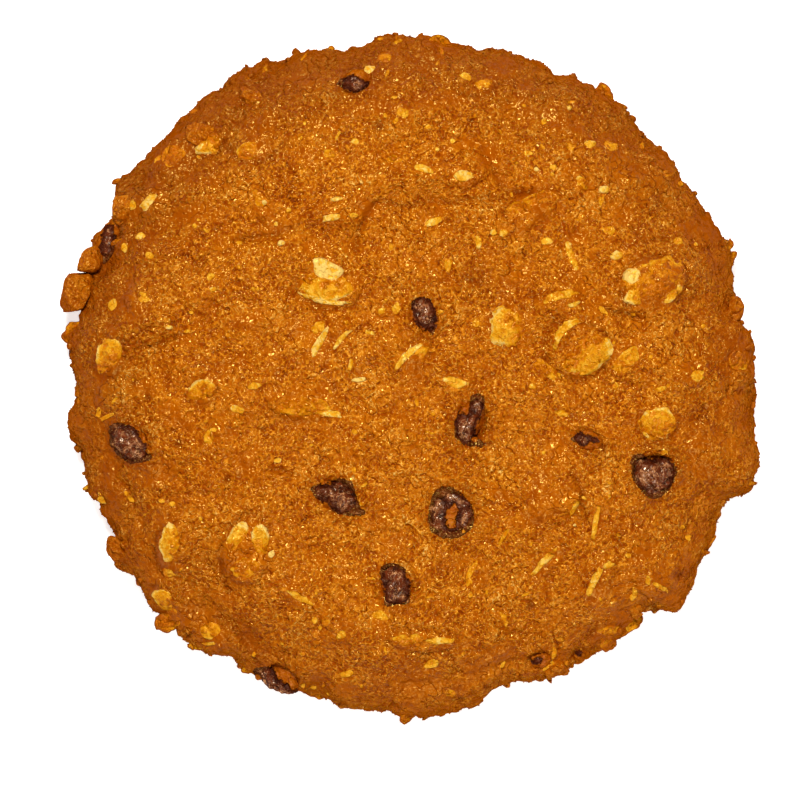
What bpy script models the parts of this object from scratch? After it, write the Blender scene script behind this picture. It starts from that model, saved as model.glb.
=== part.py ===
"""A tahini oatmeal cookie with raisins, 104 mm across: a thick round of dough, baked flat side down.

Frame: metres, +Z up. The baked underside rests on z = 0, and the origin is the middle of the cookie's
bounding box at that height. The crust is seen from +Z, with +X to the right and +Y up the picture.

The dough is one solid. Its oat flakes and the crumbs of its rim are part of that solid, because they are
baked into the crust. Each raisin is a solid of its own, in a pocket of the dough with a thin gap round it.
"""

import math

import bmesh
import bpy
import numpy as np
from mathutils import Matrix, Vector, noise
from mathutils.bvhtree import BVHTree

MM = 0.001

# The dough's turned form.
ROUND_MIDDLE = np.array([0.38, 1.0, 0]) * MM  # where the round's own middle lies
MEAN_RADIUS = 50.4 * MM
CROWN_HEIGHT = 13.2 * MM  # underside to crust, at the middle
WIDEST_HEIGHT = 4.6 * MM  # where the side bulges furthest
FOOT_TUCK = 1.9 * MM  # how far the foot lies inside the widest line
SHOULDER_POWER = 5.8  # higher is flatter on top, with a tighter shoulder
DROP_POWER = 2.1  # higher is a squarer side
RIM_BEGINS = 0.80  # share of the radius where the uneven rim starts to show
FOOT_EVENNESS = 0.45  # share of the rim's unevenness that is lost at the foot

# The rim's lobes and notches: middle angle, reach before it, reach after it (degrees), height (mm).
RIM_LOBES = (
    (3, 6, 6, 0.7),
    (14, 6, 6, -1.0),
    (22, 4, 4, 0.6),
    (30, 4, 4, -0.4),
    (40, 3, 3, 0.5),
    (45, 3, 3, -0.6),
    (51, 2, 3, 0.7),
    (64, 6, 5, -1.3),
    (77, 4, 3, -0.6),
    (84, 4, 3, -1.4),
    (92, 3, 3, 0.9),
    (99, 3, 4, -0.6),
    (111, 8, 5, -1.5),
    (120, 2, 3, 1.0),
    (131, 2, 2, 0.7),
    (139, 6, 6, 0.5),
    (148, 4, 3, 2.1),
    (157, 3, 3, 2.2),
    (166, 3, 2, 0.6),
    (178, 4, 4, 0.8),
    (189, 4, 4, 1.3),
    (201, 3, 2, 1.3),
    (213, 3, 6, 2.0),
    (222, 4, 4, 2.0),
    (232, 5, 5, 2.4),
    (246, 6, 6, 0.9),
    (254, 2, 3, -0.9),
    (270, 9, 9, 0.7),
    (281, 3, 4, 0.7),
    (287, 4, 4, -1.8),
    (303, 4, 4, -0.4),
    (318, 2, 10, 3.2),
    (336, 2, 1.5, 0.2),
    (341, 2.5, 12, 3.7),
    (352, 5, 8, -1.0),
)
# Broad swells of the crust: x, y, length, width (mm), turn (degrees), height (mm).
SWELLS = (
    (-22, 33, 9, 6, 10, 0.9),
    (-30, 12, 26, 12, 25, 0.7),
    (-27, -3, 20, 9, 15, 0.6),
    (-35, -27, 13, 8, 80, 0.8),
    (-24, -27, 13, 9, 80, 1.1),
    (-6, 27, 17, 7, 12, 0.8),
    (8, 29, 14, 8, -5, 1.0),
    (17, 24, 13, 6, 38, 0.9),
    (4, 16, 15, 9, 20, 0.5),
    (36, 14, 13, 10, 20, 1.2),
    (26, 5, 12, 10, 20, 1.1),
    (41, -1, 9, 8, 70, 0.7),
    (22, -17, 14, 12, 30, 0.9),
    (-4, -10, 20, 11, 10, 0.4),
    (2, -39, 20, 7, -4, 0.8),
    (-12, -34, 15, 8, -30, 0.6),
    (33, -33, 13, 9, 30, 0.8),
    (-43, 6, 12, 7, 80, 0.8),
    (-40, 26, 11, 7, 40, 0.7),
)
SWELL_FALL = 0.8  # how quickly a swell sinks away past its own outline
# Creases: the points of each valley line (mm), then its width and depth (mm).
CREASES = (
    (((-8.5, 18), (-6.5, 23), (-4, 26), (5, 26.5), (15, 28)), 1.8, 1.0),
    (((-27, 20.5), (-20, 21.5), (-15, 22.5), (-9, 21)), 2.0, 0.8),
    (((10, 35), (13.5, 31), (15.5, 27.5), (20, 27)), 2.2, 0.9),
    (((-42, 2), (-38, 5), (-32, 8.5), (-24, 10)), 2.2, 0.8),
    (((27, 12), (30.5, 9), (36, 7.5)), 1.6, 0.9),
    (((24, -11), (27, -17), (25, -23)), 1.8, 0.7),
    (((-30, -22), (-29.5, -28), (-26, -33)), 1.8, 0.8),
    (((-27, -37), (-22, -40), (-19.5, -43.5)), 1.8, 0.7),
    (((-20, -8), (-12, -14), (-6, -14.5)), 2.4, 0.5),
    (((29, -36), (33, -36), (37, -34)), 1.6, 0.6),
    (((10, -3), (12, 3), (10, 8)), 2.2, 0.5),
    (((-44.4, 24.6), (-45.6, 20.4), (-46.0, 16.5)), 1.3, 2.2),
    (((-41, 29), (-34, 35.5), (-25, 41.5)), 1.4, 0.8),
    (((-28, 44), (-18, 45.5), (-10, 47.5)), 1.4, 0.6),
)
# The dough's own unevenness: wavelength and height (mm) of each layer.
LUMPS = ((15, 0.75), (7, 0.55), (4, 0.35))
LUMPS_SEED = 11.3
SIDE_ROUGHNESS = 0.9  # how much rougher the side is than the crust
STEADY_HEIGHT = 2.4 * MM  # below this the relief fades out, so that the foot stays level

# The mesh of the dough.
CRUST_CELLS = 46
PROFILE_SAMPLES = 400
SLOPE_STEP = 0.01
SLIVER = 0.005 * MM  # points closer than this are made one

# Crumbs of the rim: angle round it, height, reach of the middle past the side, length, width, thickness
# (mm), turn (degrees).
CRUMBS = (
    (159.8, 7.2, 1.5, 5.0, 4.6, 4.8, 75),
    (165.8, 7.0, 0.9, 6.8, 4.6, 5.2, 68),
    (171.9, 6.8, -0.9, 3.4, 2.8, 3.6, -20),
    (149.6, 8.6, 0.3, 5.0, 4.0, 3.8, 70),
    (130.8, 9.0, -0.2, 3.8, 3.0, 3.2, 20),
    (119.3, 9.0, -0.3, 3.6, 2.8, 3.2, -15),
    (314.4, 7.6, -0.3, 3.8, 2.8, 3.2, -45),
    (296.8, 7.2, -0.3, 4.4, 3.2, 4.2, 20),
    (210.6, 6.0, 0.1, 4.8, 3.4, 4.4, -60),
    (11.4, 7.4, 0.1, 4.2, 2.8, 3.4, 80),
)
CRUMB_JITTER = 0.45

# Oat flakes that show: x, y, length, width (mm), turn, tip sideways (degrees), height over the crust (mm).
FLAKES = (
    (-11.7, 13.8, 8.4, 6.3, -12, -9, 0.45),
    (-12.0, 5.6, 6.9, 4.5, 55, 8, 0.35),
    (0.3, 2.3, 6.0, 3.6, 48, 12, 0.35),
    (6.9, -0.9, 4.4, 2.6, -12, 6, 0.30),
    (-15.5, -4.3, 10.4, 4.6, -4, 4, 0.25),
    (15.2, 7.5, 6.6, 5.4, -10, -8, 0.40),
    (25.8, 4.3, 8.7, 7.0, 20, 0, 0.50),
    (36.3, 14.0, 9.0, 7.0, 20, -4, 0.50),
    (32.1, 2.8, 6.0, 3.6, 45, 5, 0.30),
    (37.4, -6.6, 5.4, 4.8, 20, 6, 0.45),
    (28.4, -20.7, 6.6, 2.4, 80, 26, 0.35),
    (20.3, -27.9, 6.6, 2.6, 47, 24, 0.35),
    (28.4, -30.8, 6.6, 2.6, 66, 24, 0.35),
    (31.0, -38.2, 6.6, 4.2, 25, 0, 0.40),
    (-16.2, -32.7, 6.0, 2.4, -32, 20, 0.35),
    (2.1, -39.0, 9.0, 3.2, -3, 10, 0.40),
    (-24.0, -25.8, 9.3, 6.9, 78, 0, 0.50),
    (-34.8, -25.2, 7.5, 4.6, 78, 10, 0.45),
    (-36.6, -33.4, 4.2, 3.2, -40, 0, 0.35),
    (-44.4, 3.0, 6.6, 4.0, 75, 0, 0.35),
    (-30.6, -2.2, 4.4, 3.8, 60, 0, 0.40),
    (-38.7, 25.7, 6.0, 3.8, 40, 8, 0.35),
    (-28.8, 35.3, 5.4, 3.4, 30, 8, 0.35),
    (-21.8, 25.8, 5.0, 2.6, -62, 10, 0.30),
    (3.3, 30.8, 5.1, 2.6, -10, 10, 0.30),
    (8.6, 29.9, 5.1, 3.4, 10, -8, 0.30),
    (11.1, 43.0, 4.4, 3.0, 15, 0, 0.35),
    (25.4, 29.0, 6.0, 3.4, -50, 10, 0.40),
    (16.8, 24.0, 8.4, 4.4, 38, 0, 0.30),
    (22.1, 11.6, 6.2, 2.8, 15, 12, 0.30),
    (42.3, 0.4, 4.4, 3.6, 10, 0, 0.35),
    (21.4, -17.0, 9.0, 6.4, 30, 0, 0.30),
    (-1.2, 38.8, 3.8, 3.0, 20, 0, 0.30),
    (-12.6, 23.8, 5.4, 2.8, 8, 10, 0.30),
    (-24.6, -5.0, 3.8, 2.8, -35, 0, 0.30),
    (36.0, -31.2, 4.6, 3.0, -30, 8, 0.35),
    (-9.6, -37.8, 4.2, 2.8, 20, 0, 0.30),
    (10.6, -29.4, 4.6, 2.6, 74, 14, 0.30),
)
# Flakes baked into the side, which come at even turns with a seeded slip.
SIDE_FLAKES = 8
SIDE_FLAKE_SEED = 7
SIDE_FLAKE_SIZE = (6.4, 4.6)  # mm
SIDE_FLAKE_HEIGHTS = (5.0, 9.0)  # mm
FLAKE_THICKNESS = 0.9 * MM
FLAKE_SIDES = 11
FLAKE_TOP_SHARE = 0.78  # width of a flake's top face against its widest outline
FLAKE_DISH = 0.25  # depth of its dished middle, as a share of its thickness
FLAKE_WOBBLE = 0.10

# Raisins: x, y, length, width, height (mm), turn (degrees), depth of the middle under the crust (mm).
RAISINS = {
    "raisin_centre": (2.4, 9.3, 6.6, 4.7, 4.2, 108, 0.7),
    "raisin_comma": (9.3, -6.8, 8.0, 5.6, 4.4, 66, 0.8),
    "raisin_ring": (6.4, -20.1, 7.6, 7.0, 4.6, 30, 0.9),
    "raisin_pointed": (-10.6, -17.6, 7.6, 5.4, 4.4, -28, 0.7),
    "raisin_low": (-1.8, -30.8, 6.6, 5.2, 4.4, 100, 0.6),
    "raisin_heart": (36.4, -14.2, 7.4, 7.2, 4.8, 90, 0.7),
    "raisin_left": (-41.0, -9.7, 7.2, 5.2, 4.6, -42, 0.3),
    "raisin_small": (26.7, -9.4, 5.2, 3.6, 3.4, -25, 1.1),
    "raisin_top": (-7.6, 43.8, 5.2, 4.0, 3.6, 10, 0.9),
    "raisin_rim": (-19.0, -45.0, 7.0, 4.6, 4.8, -32, 1.2),
    "raisin_flank": (-44.6, 20.2, 6.4, 4.2, 4.2, 66, 1.1),
    "raisin_peep": (19.6, -42.2, 4.2, 3.0, 3.2, 10, 1.1),
    "raisin_glint": (25.6, -41.2, 3.4, 2.6, 2.8, -20, 0.9),
}
# Hollows that give some raisins their outline: the direction of each (its own x, y, z), reach, depth.
RAISIN_HOLLOWS = {
    "raisin_comma": ((0.1, -1.0, 0.3), 0.40, 0.42),
    "raisin_ring": ((0.0, 0.0, 1.0), 0.30, 0.38),
    "raisin_heart": ((1.0, 0.0, 0.3), 0.30, 0.36),
    "raisin_pointed": ((0.0, 0.9, 0.5), 0.35, 0.25),
}
RAISIN_GAP = 0.3 * MM
RAISIN_WRINKLE = 0.16  # how deep the wrinkles go, as a share of the raisin's half width
SMALL_RAISIN = 6.5 * MM  # shorter raisins have fewer faces
POCKET_SLACK = 1.08  # a faceted pocket is this much larger, so that its flats clear the raisin

DOUGH_COLOUR = (0.50, 0.16, 0.018, 1.0)
RAISIN_COLOUR = (0.045, 0.012, 0.008, 1.0)


def clear_scene():
    for obj in list(bpy.data.objects):
        bpy.data.objects.remove(obj)


def make_material(name, colour, roughness):
    material = bpy.data.materials.new(name)
    material.use_nodes = True
    shader = material.node_tree.nodes["Principled BSDF"]
    shader.inputs["Base Color"].default_value = colour
    shader.inputs["Roughness"].default_value = roughness
    shader.inputs["Metallic"].default_value = 0.0
    material.diffuse_color = colour
    return material


def make_collection(name):
    collection = bpy.data.collections.new(name)
    bpy.context.scene.collection.children.link(collection)
    return collection


def add_object(name, bm, collection, material=None, placing=None):
    """Turns the bmesh into an object in the collection, placed by its location and rotation."""
    mesh = bpy.data.meshes.new(name)
    bm.to_mesh(mesh)
    bm.free()
    if material:
        mesh.materials.append(material)
    obj = bpy.data.objects.new(name, mesh)
    collection.objects.link(obj)
    if placing:
        obj.location = placing.to_translation()
        obj.rotation_euler = placing.to_euler()
    return obj


def smoothstep(share):
    share = np.clip(share, 0, 1)
    return share * share * (3 - 2 * share)


def profile():
    """Half of the dough's section, from the crown's middle to the foot: share of the way, radius, height."""
    turn = np.linspace(0, math.pi / 2, PROFILE_SAMPLES)
    crown_radii = MEAN_RADIUS * np.sin(turn) ** (2 / SHOULDER_POWER)
    crown_heights = WIDEST_HEIGHT + (CROWN_HEIGHT - WIDEST_HEIGHT) * np.cos(turn) ** (2 / DROP_POWER)
    foot_radii = MEAN_RADIUS - FOOT_TUCK * (1 - np.cos(turn[1:]))
    foot_heights = WIDEST_HEIGHT * (1 - np.sin(turn[1:]))
    radii = np.concatenate([crown_radii, foot_radii])
    heights = np.concatenate([crown_heights, foot_heights])
    along = np.concatenate([[0], np.cumsum(np.hypot(np.diff(radii), np.diff(heights)))])
    return along / along[-1], radii, heights


def rim_offset(angle):
    """How far the rim stands out at each angle (radians), with its lobes and notches."""
    total = 0
    for middle, before, after, height in RIM_LOBES:
        apart = (np.degrees(angle) - middle + 180) % 360 - 180
        reach = np.where(apart < 0, before, after)
        total = total + height * MM * np.exp(-((apart / reach) ** 2))
    return total


def swell_height(x, y):
    """How far the broad swells lift the crust at each (x, y)."""
    total = 0
    for centre_x, centre_y, length, width, turn, height in SWELLS:
        c, s = math.cos(math.radians(turn)), math.sin(math.radians(turn))
        dx, dy = x - centre_x * MM, y - centre_y * MM
        along, across = dx * c + dy * s, dy * c - dx * s
        spread = (2 * along / (length * MM)) ** 2 + (2 * across / (width * MM)) ** 2
        total = total + height * MM * np.exp(-spread * SWELL_FALL)
    return total


def distance_to_line(x, y, points):
    """Distance from each (x, y) to a line through points given in millimetres."""
    nearest = np.inf
    for (x1, y1), (x2, y2) in zip(points, points[1:]):
        dx, dy = (x2 - x1) * MM, (y2 - y1) * MM
        share = ((x - x1 * MM) * dx + (y - y1 * MM) * dy) / (dx * dx + dy * dy)
        share = np.clip(share, 0, 1)
        away = np.hypot(x - x1 * MM - share * dx, y - y1 * MM - share * dy)
        nearest = np.minimum(nearest, away)
    return nearest


def crease_depth(x, y):
    """How far the creases sink the crust at each (x, y)."""
    total = 0
    for points, width, depth in CREASES:
        total = total + depth * MM * np.exp(-((distance_to_line(x, y, points) / (width * MM)) ** 2))
    return total


def lump_height(points):
    """The dough's own unevenness at each point."""
    total = np.zeros(len(points))
    for wavelength, height in LUMPS:
        places = points / (wavelength * MM) + (0, 0, LUMPS_SEED * wavelength)
        total += height * MM * np.array([noise.noise(Vector(place)) for place in places])
    return total


def disc_places(u, v):
    """The square from -1 to 1 laid on the round: each point's share of the way out, and its angle."""
    sideways = np.abs(u) >= np.abs(v)
    longer = np.where(sideways, u, v)
    safe = np.where(longer == 0, 1, longer)
    turned = math.pi / 4 * np.where(sideways, v, u) / safe
    angle = np.where(sideways, turned, math.pi / 2 - turned)
    return np.abs(longer), np.where(longer < 0, angle + math.pi, angle)


def crust_points(u, v):
    """Where points of the square lie on the dough: crown at the middle, foot at the square's edge."""
    along, radii, heights = profile()
    out, angle = disc_places(u, v)
    radius, height = np.interp(out, along, radii), np.interp(out, along, heights)
    run = np.interp(out + SLOPE_STEP, along, radii) - np.interp(out - SLOPE_STEP, along, radii)
    fall = np.interp(out - SLOPE_STEP, along, heights) - np.interp(out + SLOPE_STEP, along, heights)
    upright, steep = run / np.hypot(run, fall), fall / np.hypot(run, fall)
    rim_share = smoothstep((radius / MEAN_RADIUS - RIM_BEGINS) / (1 - RIM_BEGINS))
    rim_share = rim_share * (1 - FOOT_EVENNESS * (1 - smoothstep(height / WIDEST_HEIGHT)))
    radius = radius + rim_offset(angle) * rim_share
    turned = np.stack([radius * np.cos(angle), radius * np.sin(angle), height], axis=1)
    points = turned + ROUND_MIDDLE
    facing_up = np.maximum(upright, 0)
    relief = lump_height(turned) * (1 + SIDE_ROUGHNESS * (1 - facing_up))
    relief += (swell_height(points[:, 0], points[:, 1]) - crease_depth(points[:, 0], points[:, 1])) * facing_up
    relief *= smoothstep(height / STEADY_HEIGHT)
    outward = np.stack([steep * np.cos(angle), steep * np.sin(angle), upright], axis=1)
    return points + outward * relief[:, None]


def build_dough(collection, material):
    """The dough without its flakes: a square grid laid over the round, closed by its flat underside."""
    bm = bmesh.new()
    bmesh.ops.create_grid(bm, x_segments=CRUST_CELLS, y_segments=CRUST_CELLS, size=1)
    square = np.array([vertex.co for vertex in bm.verts])
    for vertex, place in zip(bm.verts, crust_points(square[:, 0], square[:, 1])):
        vertex.co = place
    foot = [edge for edge in bm.edges if edge.is_boundary]
    for vertex in {vertex for edge in foot for vertex in edge.verts}:
        vertex.co.z = 0
    bmesh.ops.contextual_create(bm, geom=foot)
    bmesh.ops.triangulate(bm, faces=bm.faces)
    bmesh.ops.recalc_face_normals(bm, faces=bm.faces)
    return add_object("dough", bm, collection, material)


def crust_direction(tree, place, reach):
    """The way the crust faces round a place, averaged over a patch, so that a thing laid there lies flat."""
    total = Vector()
    for _, normal, _, _ in tree.find_nearest_range(place, reach):
        total += normal
    return total.normalized()


def seat(place, direction, turn, tip=0.0):
    """A frame at place whose Z is the direction, turned about it and then tipped sideways."""
    upright = Vector((0, 0, 1)).rotation_difference(direction).to_matrix().to_4x4()
    return (Matrix.Translation(place) @ upright @ Matrix.Rotation(math.radians(turn), 4, "Z")
            @ Matrix.Rotation(math.radians(tip), 4, "X"))


def crust_below(tree, x, y):
    return tree.ray_cast(Vector((x * MM, y * MM, 2 * CROWN_HEIGHT)), Vector((0, 0, -1)))[0]


def side_at(tree, angle, height):
    """The side's point at this angle (degrees) and height (mm), and the way out of it, level."""
    way_out = Vector((math.cos(math.radians(angle)), math.sin(math.radians(angle)), 0))
    start = way_out * 2 * MEAN_RADIUS + Vector((0, 0, height * MM))
    return tree.ray_cast(start, -way_out)[0], way_out


def build_flake(name, place, length, width, turn, tip, rise, tree, collection):
    """One rolled oat flake: a bevelled oval disc with a shallow dish along its middle."""
    bm = bmesh.new()
    bmesh.ops.create_cone(
        bm, cap_ends=True, segments=FLAKE_SIDES, radius1=0.5, radius2=FLAKE_TOP_SHARE / 2, depth=2
    )
    top = max(bm.faces, key=lambda face: face.calc_center_median().z)
    dish = bmesh.ops.poke(bm, faces=[top])["verts"][0]
    dish.co.z -= FLAKE_DISH
    for vertex in bm.verts:
        wobble = 1 + FLAKE_WOBBLE * noise.noise(vertex.co * 2.6 + place * 500)
        vertex.co = Vector((vertex.co.x * length * MM, vertex.co.y * width * MM, vertex.co.z * FLAKE_THICKNESS))
        vertex.co *= wobble
    direction = crust_direction(tree, place, max(width * MM / 2, 2 * MM))
    bmesh.ops.recalc_face_normals(bm, faces=bm.faces)
    lowered = place + direction * (rise * MM - FLAKE_THICKNESS)
    add_object(name, bm, collection, placing=seat(lowered, direction, turn, tip))


def build_flakes(tree, collection):
    for index, (x, y, *values) in enumerate(FLAKES):
        build_flake(f"flake_{index}", crust_below(tree, x, y), *values, tree, collection)
    draw = np.random.default_rng(SIDE_FLAKE_SEED)
    for index in range(SIDE_FLAKES):
        angle = 360 * (index + draw.uniform(-0.3, 0.3)) / SIDE_FLAKES
        place, _ = side_at(tree, angle, draw.uniform(*SIDE_FLAKE_HEIGHTS))
        length, width = np.array(SIDE_FLAKE_SIZE) * draw.uniform(0.8, 1.15)
        turn, tip = draw.uniform(-180, 180), draw.uniform(-14, 14)
        build_flake(f"side_flake_{index}", place, length, width, turn, tip, 0.4, tree, collection)


def build_crumb(index, angle, height, reach, length, width, thickness, turn, tree, collection):
    """One lump that stands out of the rim."""
    place, way_out = side_at(tree, angle, height)
    bm = bmesh.new()
    bmesh.ops.create_icosphere(bm, subdivisions=2, radius=0.5)
    for vertex in bm.verts:
        vertex.co *= 1 + CRUMB_JITTER * noise.noise(vertex.co * 3.4 + Vector((index * 4.1, 0, 0)))
        vertex.co = Vector((vertex.co.x * length, vertex.co.y * width, vertex.co.z * thickness)) * MM
    placing = seat(place + way_out * reach * MM, Vector((0, 0, 1)), turn)
    add_object(f"crumb_{index}", bm, collection, placing=placing)


def folds(direction, seed):
    """How far a raisin's skin folds inward in this direction, from 0 to 1."""
    broad = abs(noise.noise(direction * 1.7 + Vector((seed, 0, 0))))
    fine = abs(noise.noise(direction * 3.6 + Vector((0, seed, 0))))
    return min(max(0.75 * (1 - 1.8 * broad) + 0.25 * (1 - 2 * fine), 0), 1)


def hollow_depth(name, direction):
    if name not in RAISIN_HOLLOWS:
        return 0
    toward, reach, depth = RAISIN_HOLLOWS[name]
    return depth * math.exp(-(((1 - direction.dot(Vector(toward).normalized())) / reach) ** 2))


def raisin_seat(tree, x, y, turn, sunk):
    place = crust_below(tree, x, y)
    direction = crust_direction(tree, place, 3 * MM)
    return seat(place - direction * sunk * MM, direction, turn)


def build_raisin(name, seed, sizes, placing, collection, material):
    """One raisin: a flattened berry whose skin has folded inward."""
    small = sizes.x < SMALL_RAISIN
    bm = bmesh.new()
    bmesh.ops.create_icosphere(bm, subdivisions=2 if small else 3, radius=1)
    for vertex in bm.verts:
        shrink = RAISIN_WRINKLE * folds(vertex.co, seed) + hollow_depth(name, vertex.co)
        vertex.co = vertex.co * sizes * (1 - shrink) / 2
    raisin = add_object(name, bm, collection, material, placing)
    raisin.data.shade_smooth()


def build_pocket(name, sizes, placing, collection):
    """The space that a raisin takes from the dough, with its gap."""
    room = sizes * POCKET_SLACK + Vector((1, 1, 1)) * 2 * RAISIN_GAP
    bm = bmesh.new()
    bmesh.ops.create_icosphere(bm, subdivisions=2, radius=0.5)
    for vertex in bm.verts:
        vertex.co = vertex.co * room
    pocket = add_object(name, bm, collection, placing=placing)
    pocket.hide_render = True
    pocket.display_type = "WIRE"


def merge_slivers(obj):
    """Removes the shortest edges left where two surfaces cross."""
    bm = bmesh.new()
    bm.from_mesh(obj.data)
    bmesh.ops.remove_doubles(bm, verts=bm.verts, dist=SLIVER)
    bmesh.ops.triangulate(bm, faces=bm.faces)
    bm.to_mesh(obj.data)
    bm.free()


def bake_in(dough, loose):
    """Joins the loose flakes and crumbs to the dough with one union, and removes the loose ones."""
    union = dough.modifiers.new("baked_in", "BOOLEAN")
    union.operation = "UNION"
    union.operand_type = "COLLECTION"
    union.collection = loose
    union.solver = "EXACT"
    with bpy.context.temp_override(object=dough, active_object=dough):
        bpy.ops.object.modifier_apply(modifier=union.name)
    merge_slivers(dough)
    for obj in list(loose.objects):
        bpy.data.objects.remove(obj)
    bpy.data.collections.remove(loose)


def cut_pockets(dough, pockets):
    cut = dough.modifiers.new("raisin_pockets", "BOOLEAN")
    cut.operation = "DIFFERENCE"
    cut.operand_type = "COLLECTION"
    cut.collection = pockets
    cut.solver = "EXACT"
    with bpy.context.temp_override(object=dough, active_object=dough):
        bpy.ops.object.modifier_apply(modifier=cut.name)
    merge_slivers(dough)


def centre_on_origin(dough, objects, collection):
    """Hangs every object on one empty, and slides it so that the dough's box stands over the origin."""
    corners = np.array([vertex.co for vertex in dough.data.vertices])
    middle = (corners.min(axis=0) + corners.max(axis=0)) / 2
    frame = bpy.data.objects.new("cookie_frame", None)
    frame.location = (-middle[0], -middle[1], 0)
    collection.objects.link(frame)
    for obj in objects:
        obj.parent = frame


def main():
    clear_scene()
    cookie = make_collection("tahini_oatmeal_cookie")
    loose = make_collection("loose_flakes")
    pockets = make_collection("cutters")
    dough_material = make_material("baked_dough", DOUGH_COLOUR, 0.45)
    raisin_material = make_material("raisin_skin", RAISIN_COLOUR, 0.35)

    dough = build_dough(cookie, dough_material)
    tree = BVHTree.FromPolygons([vertex.co.copy() for vertex in dough.data.vertices],
                                [tuple(face.vertices) for face in dough.data.polygons])
    build_flakes(tree, loose)
    for index, values in enumerate(CRUMBS):
        build_crumb(index, *values, tree, loose)
    bake_in(dough, loose)

    for seed, (name, (x, y, length, width, height, turn, sunk)) in enumerate(RAISINS.items()):
        placing = raisin_seat(tree, x, y, turn, sunk)
        sizes = Vector((length, width, height)) * MM
        build_raisin(name, 5.3 * seed, sizes, placing, cookie, raisin_material)
        build_pocket(name.replace("raisin", "pocket"), sizes, placing, pockets)
    cut_pockets(dough, pockets)
    dough.data.shade_smooth()
    centre_on_origin(dough, [*cookie.objects, *pockets.objects], cookie)


main()
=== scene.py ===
import math

import bmesh
import bpy
import numpy as np
from mathutils import Matrix, Vector, noise
from mathutils.bvhtree import BVHTree


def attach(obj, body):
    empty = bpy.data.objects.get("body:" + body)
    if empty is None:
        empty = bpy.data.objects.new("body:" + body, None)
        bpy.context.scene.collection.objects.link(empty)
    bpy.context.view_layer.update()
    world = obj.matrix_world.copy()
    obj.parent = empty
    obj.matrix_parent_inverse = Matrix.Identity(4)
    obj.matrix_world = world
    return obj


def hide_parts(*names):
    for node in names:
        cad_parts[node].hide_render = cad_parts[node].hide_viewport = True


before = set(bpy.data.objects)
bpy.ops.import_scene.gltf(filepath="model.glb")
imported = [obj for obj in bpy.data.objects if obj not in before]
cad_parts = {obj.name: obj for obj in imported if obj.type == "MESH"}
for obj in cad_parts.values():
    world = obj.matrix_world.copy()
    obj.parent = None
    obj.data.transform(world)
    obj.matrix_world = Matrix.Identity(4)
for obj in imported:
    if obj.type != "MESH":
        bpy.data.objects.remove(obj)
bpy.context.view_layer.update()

# ---- Camera -------------------------------------------------------------------------------------
# It looks straight down on the crust through a long lens. The picture is 120 mm wide at about the height
# where the cookie is widest, and its middle lies a little below and left of the cookie's own middle.

MM = 0.001
PICTURE_WIDTH = 120 * MM
PICTURE_MIDDLE = (-1.2 * MM, -3.45 * MM)
FOCUS_HEIGHT = 5 * MM


def add_object(name, data):
    obj = bpy.data.objects.new(name, data)
    bpy.context.collection.objects.link(obj)
    return obj


camera_data = bpy.data.cameras.new("camera")
camera_data.lens = 200
camera_data.sensor_width = 36
camera_data.clip_start = 0.01
camera = add_object("camera", camera_data)
distance = PICTURE_WIDTH * camera_data.lens / camera_data.sensor_width
camera.location = (*PICTURE_MIDDLE, FOCUS_HEIGHT + distance)
bpy.context.scene.camera = camera
bpy.context.scene.view_settings.view_transform = "Standard"

# ---- Dough --------------------------------------------------------------------------------------
# The cookie itself: oat dough scooped, pressed into a thick round and baked on a tray. Its crust is a film of
# syrup and fat over coarse grain, lumpy and creased, and its rim broke into lobes as it spread. It is one
# piece, with a mound over each flake that it covers and a pit round each raisin.

ROUND_MIDDLE = np.array([0.38, 1.0, 0]) * MM
MEAN_RADIUS = 50.4 * MM
CROWN_HEIGHT = 13.2 * MM
WIDEST_HEIGHT = 4.6 * MM
FOOT_TUCK = 1.9 * MM
SHOULDER_POWER = 5.8
DROP_POWER = 2.1
RIM_BEGINS = 0.80  # share of the radius from which the lobes grow
FOOT_EVENNESS = 0.45  # how much rounder the foot is than the rim above it
SLOPE_STEP = 0.01  # share of the section over which its slope is taken, to either side

# Lobes and notches of the rim: middle angle, reach before it, reach after it (degrees), height (mm).
RIM_LOBES = (
    (3, 6, 6, 0.7), (14, 6, 6, -1), (22, 4, 4, 0.6), (30, 4, 4, -0.4), (40, 3, 3, 0.5), (45, 3, 3, -0.6),
    (51, 2, 3, 0.7), (64, 6, 5, -1.3), (77, 4, 3, -0.6), (84, 4, 3, -1.4), (92, 3, 3, 0.9), (99, 3, 4, -0.6),
    (111, 8, 5, -1.5), (120, 2, 3, 1), (131, 2, 2, 0.7), (139, 6, 6, 0.5), (148, 4, 3, 2.1),
    (157, 3, 3, 2.2), (166, 3, 2, 0.6), (178, 4, 4, 0.8), (189, 4, 4, 1.3), (201, 3, 2, 1.3), (213, 3, 6, 2),
    (222, 4, 4, 2), (232, 5, 5, 2.4), (246, 6, 6, 0.9), (254, 2, 3, -0.9), (270, 9, 9, 0.7),
    (281, 3, 4, 0.7), (287, 4, 4, -1.8), (303, 4, 4, -0.4), (318, 2, 10, 3.2), (336, 2, 1.5, 0.2),
    (341, 2.5, 12, 3.7), (352, 5, 8, -1),
)
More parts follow.
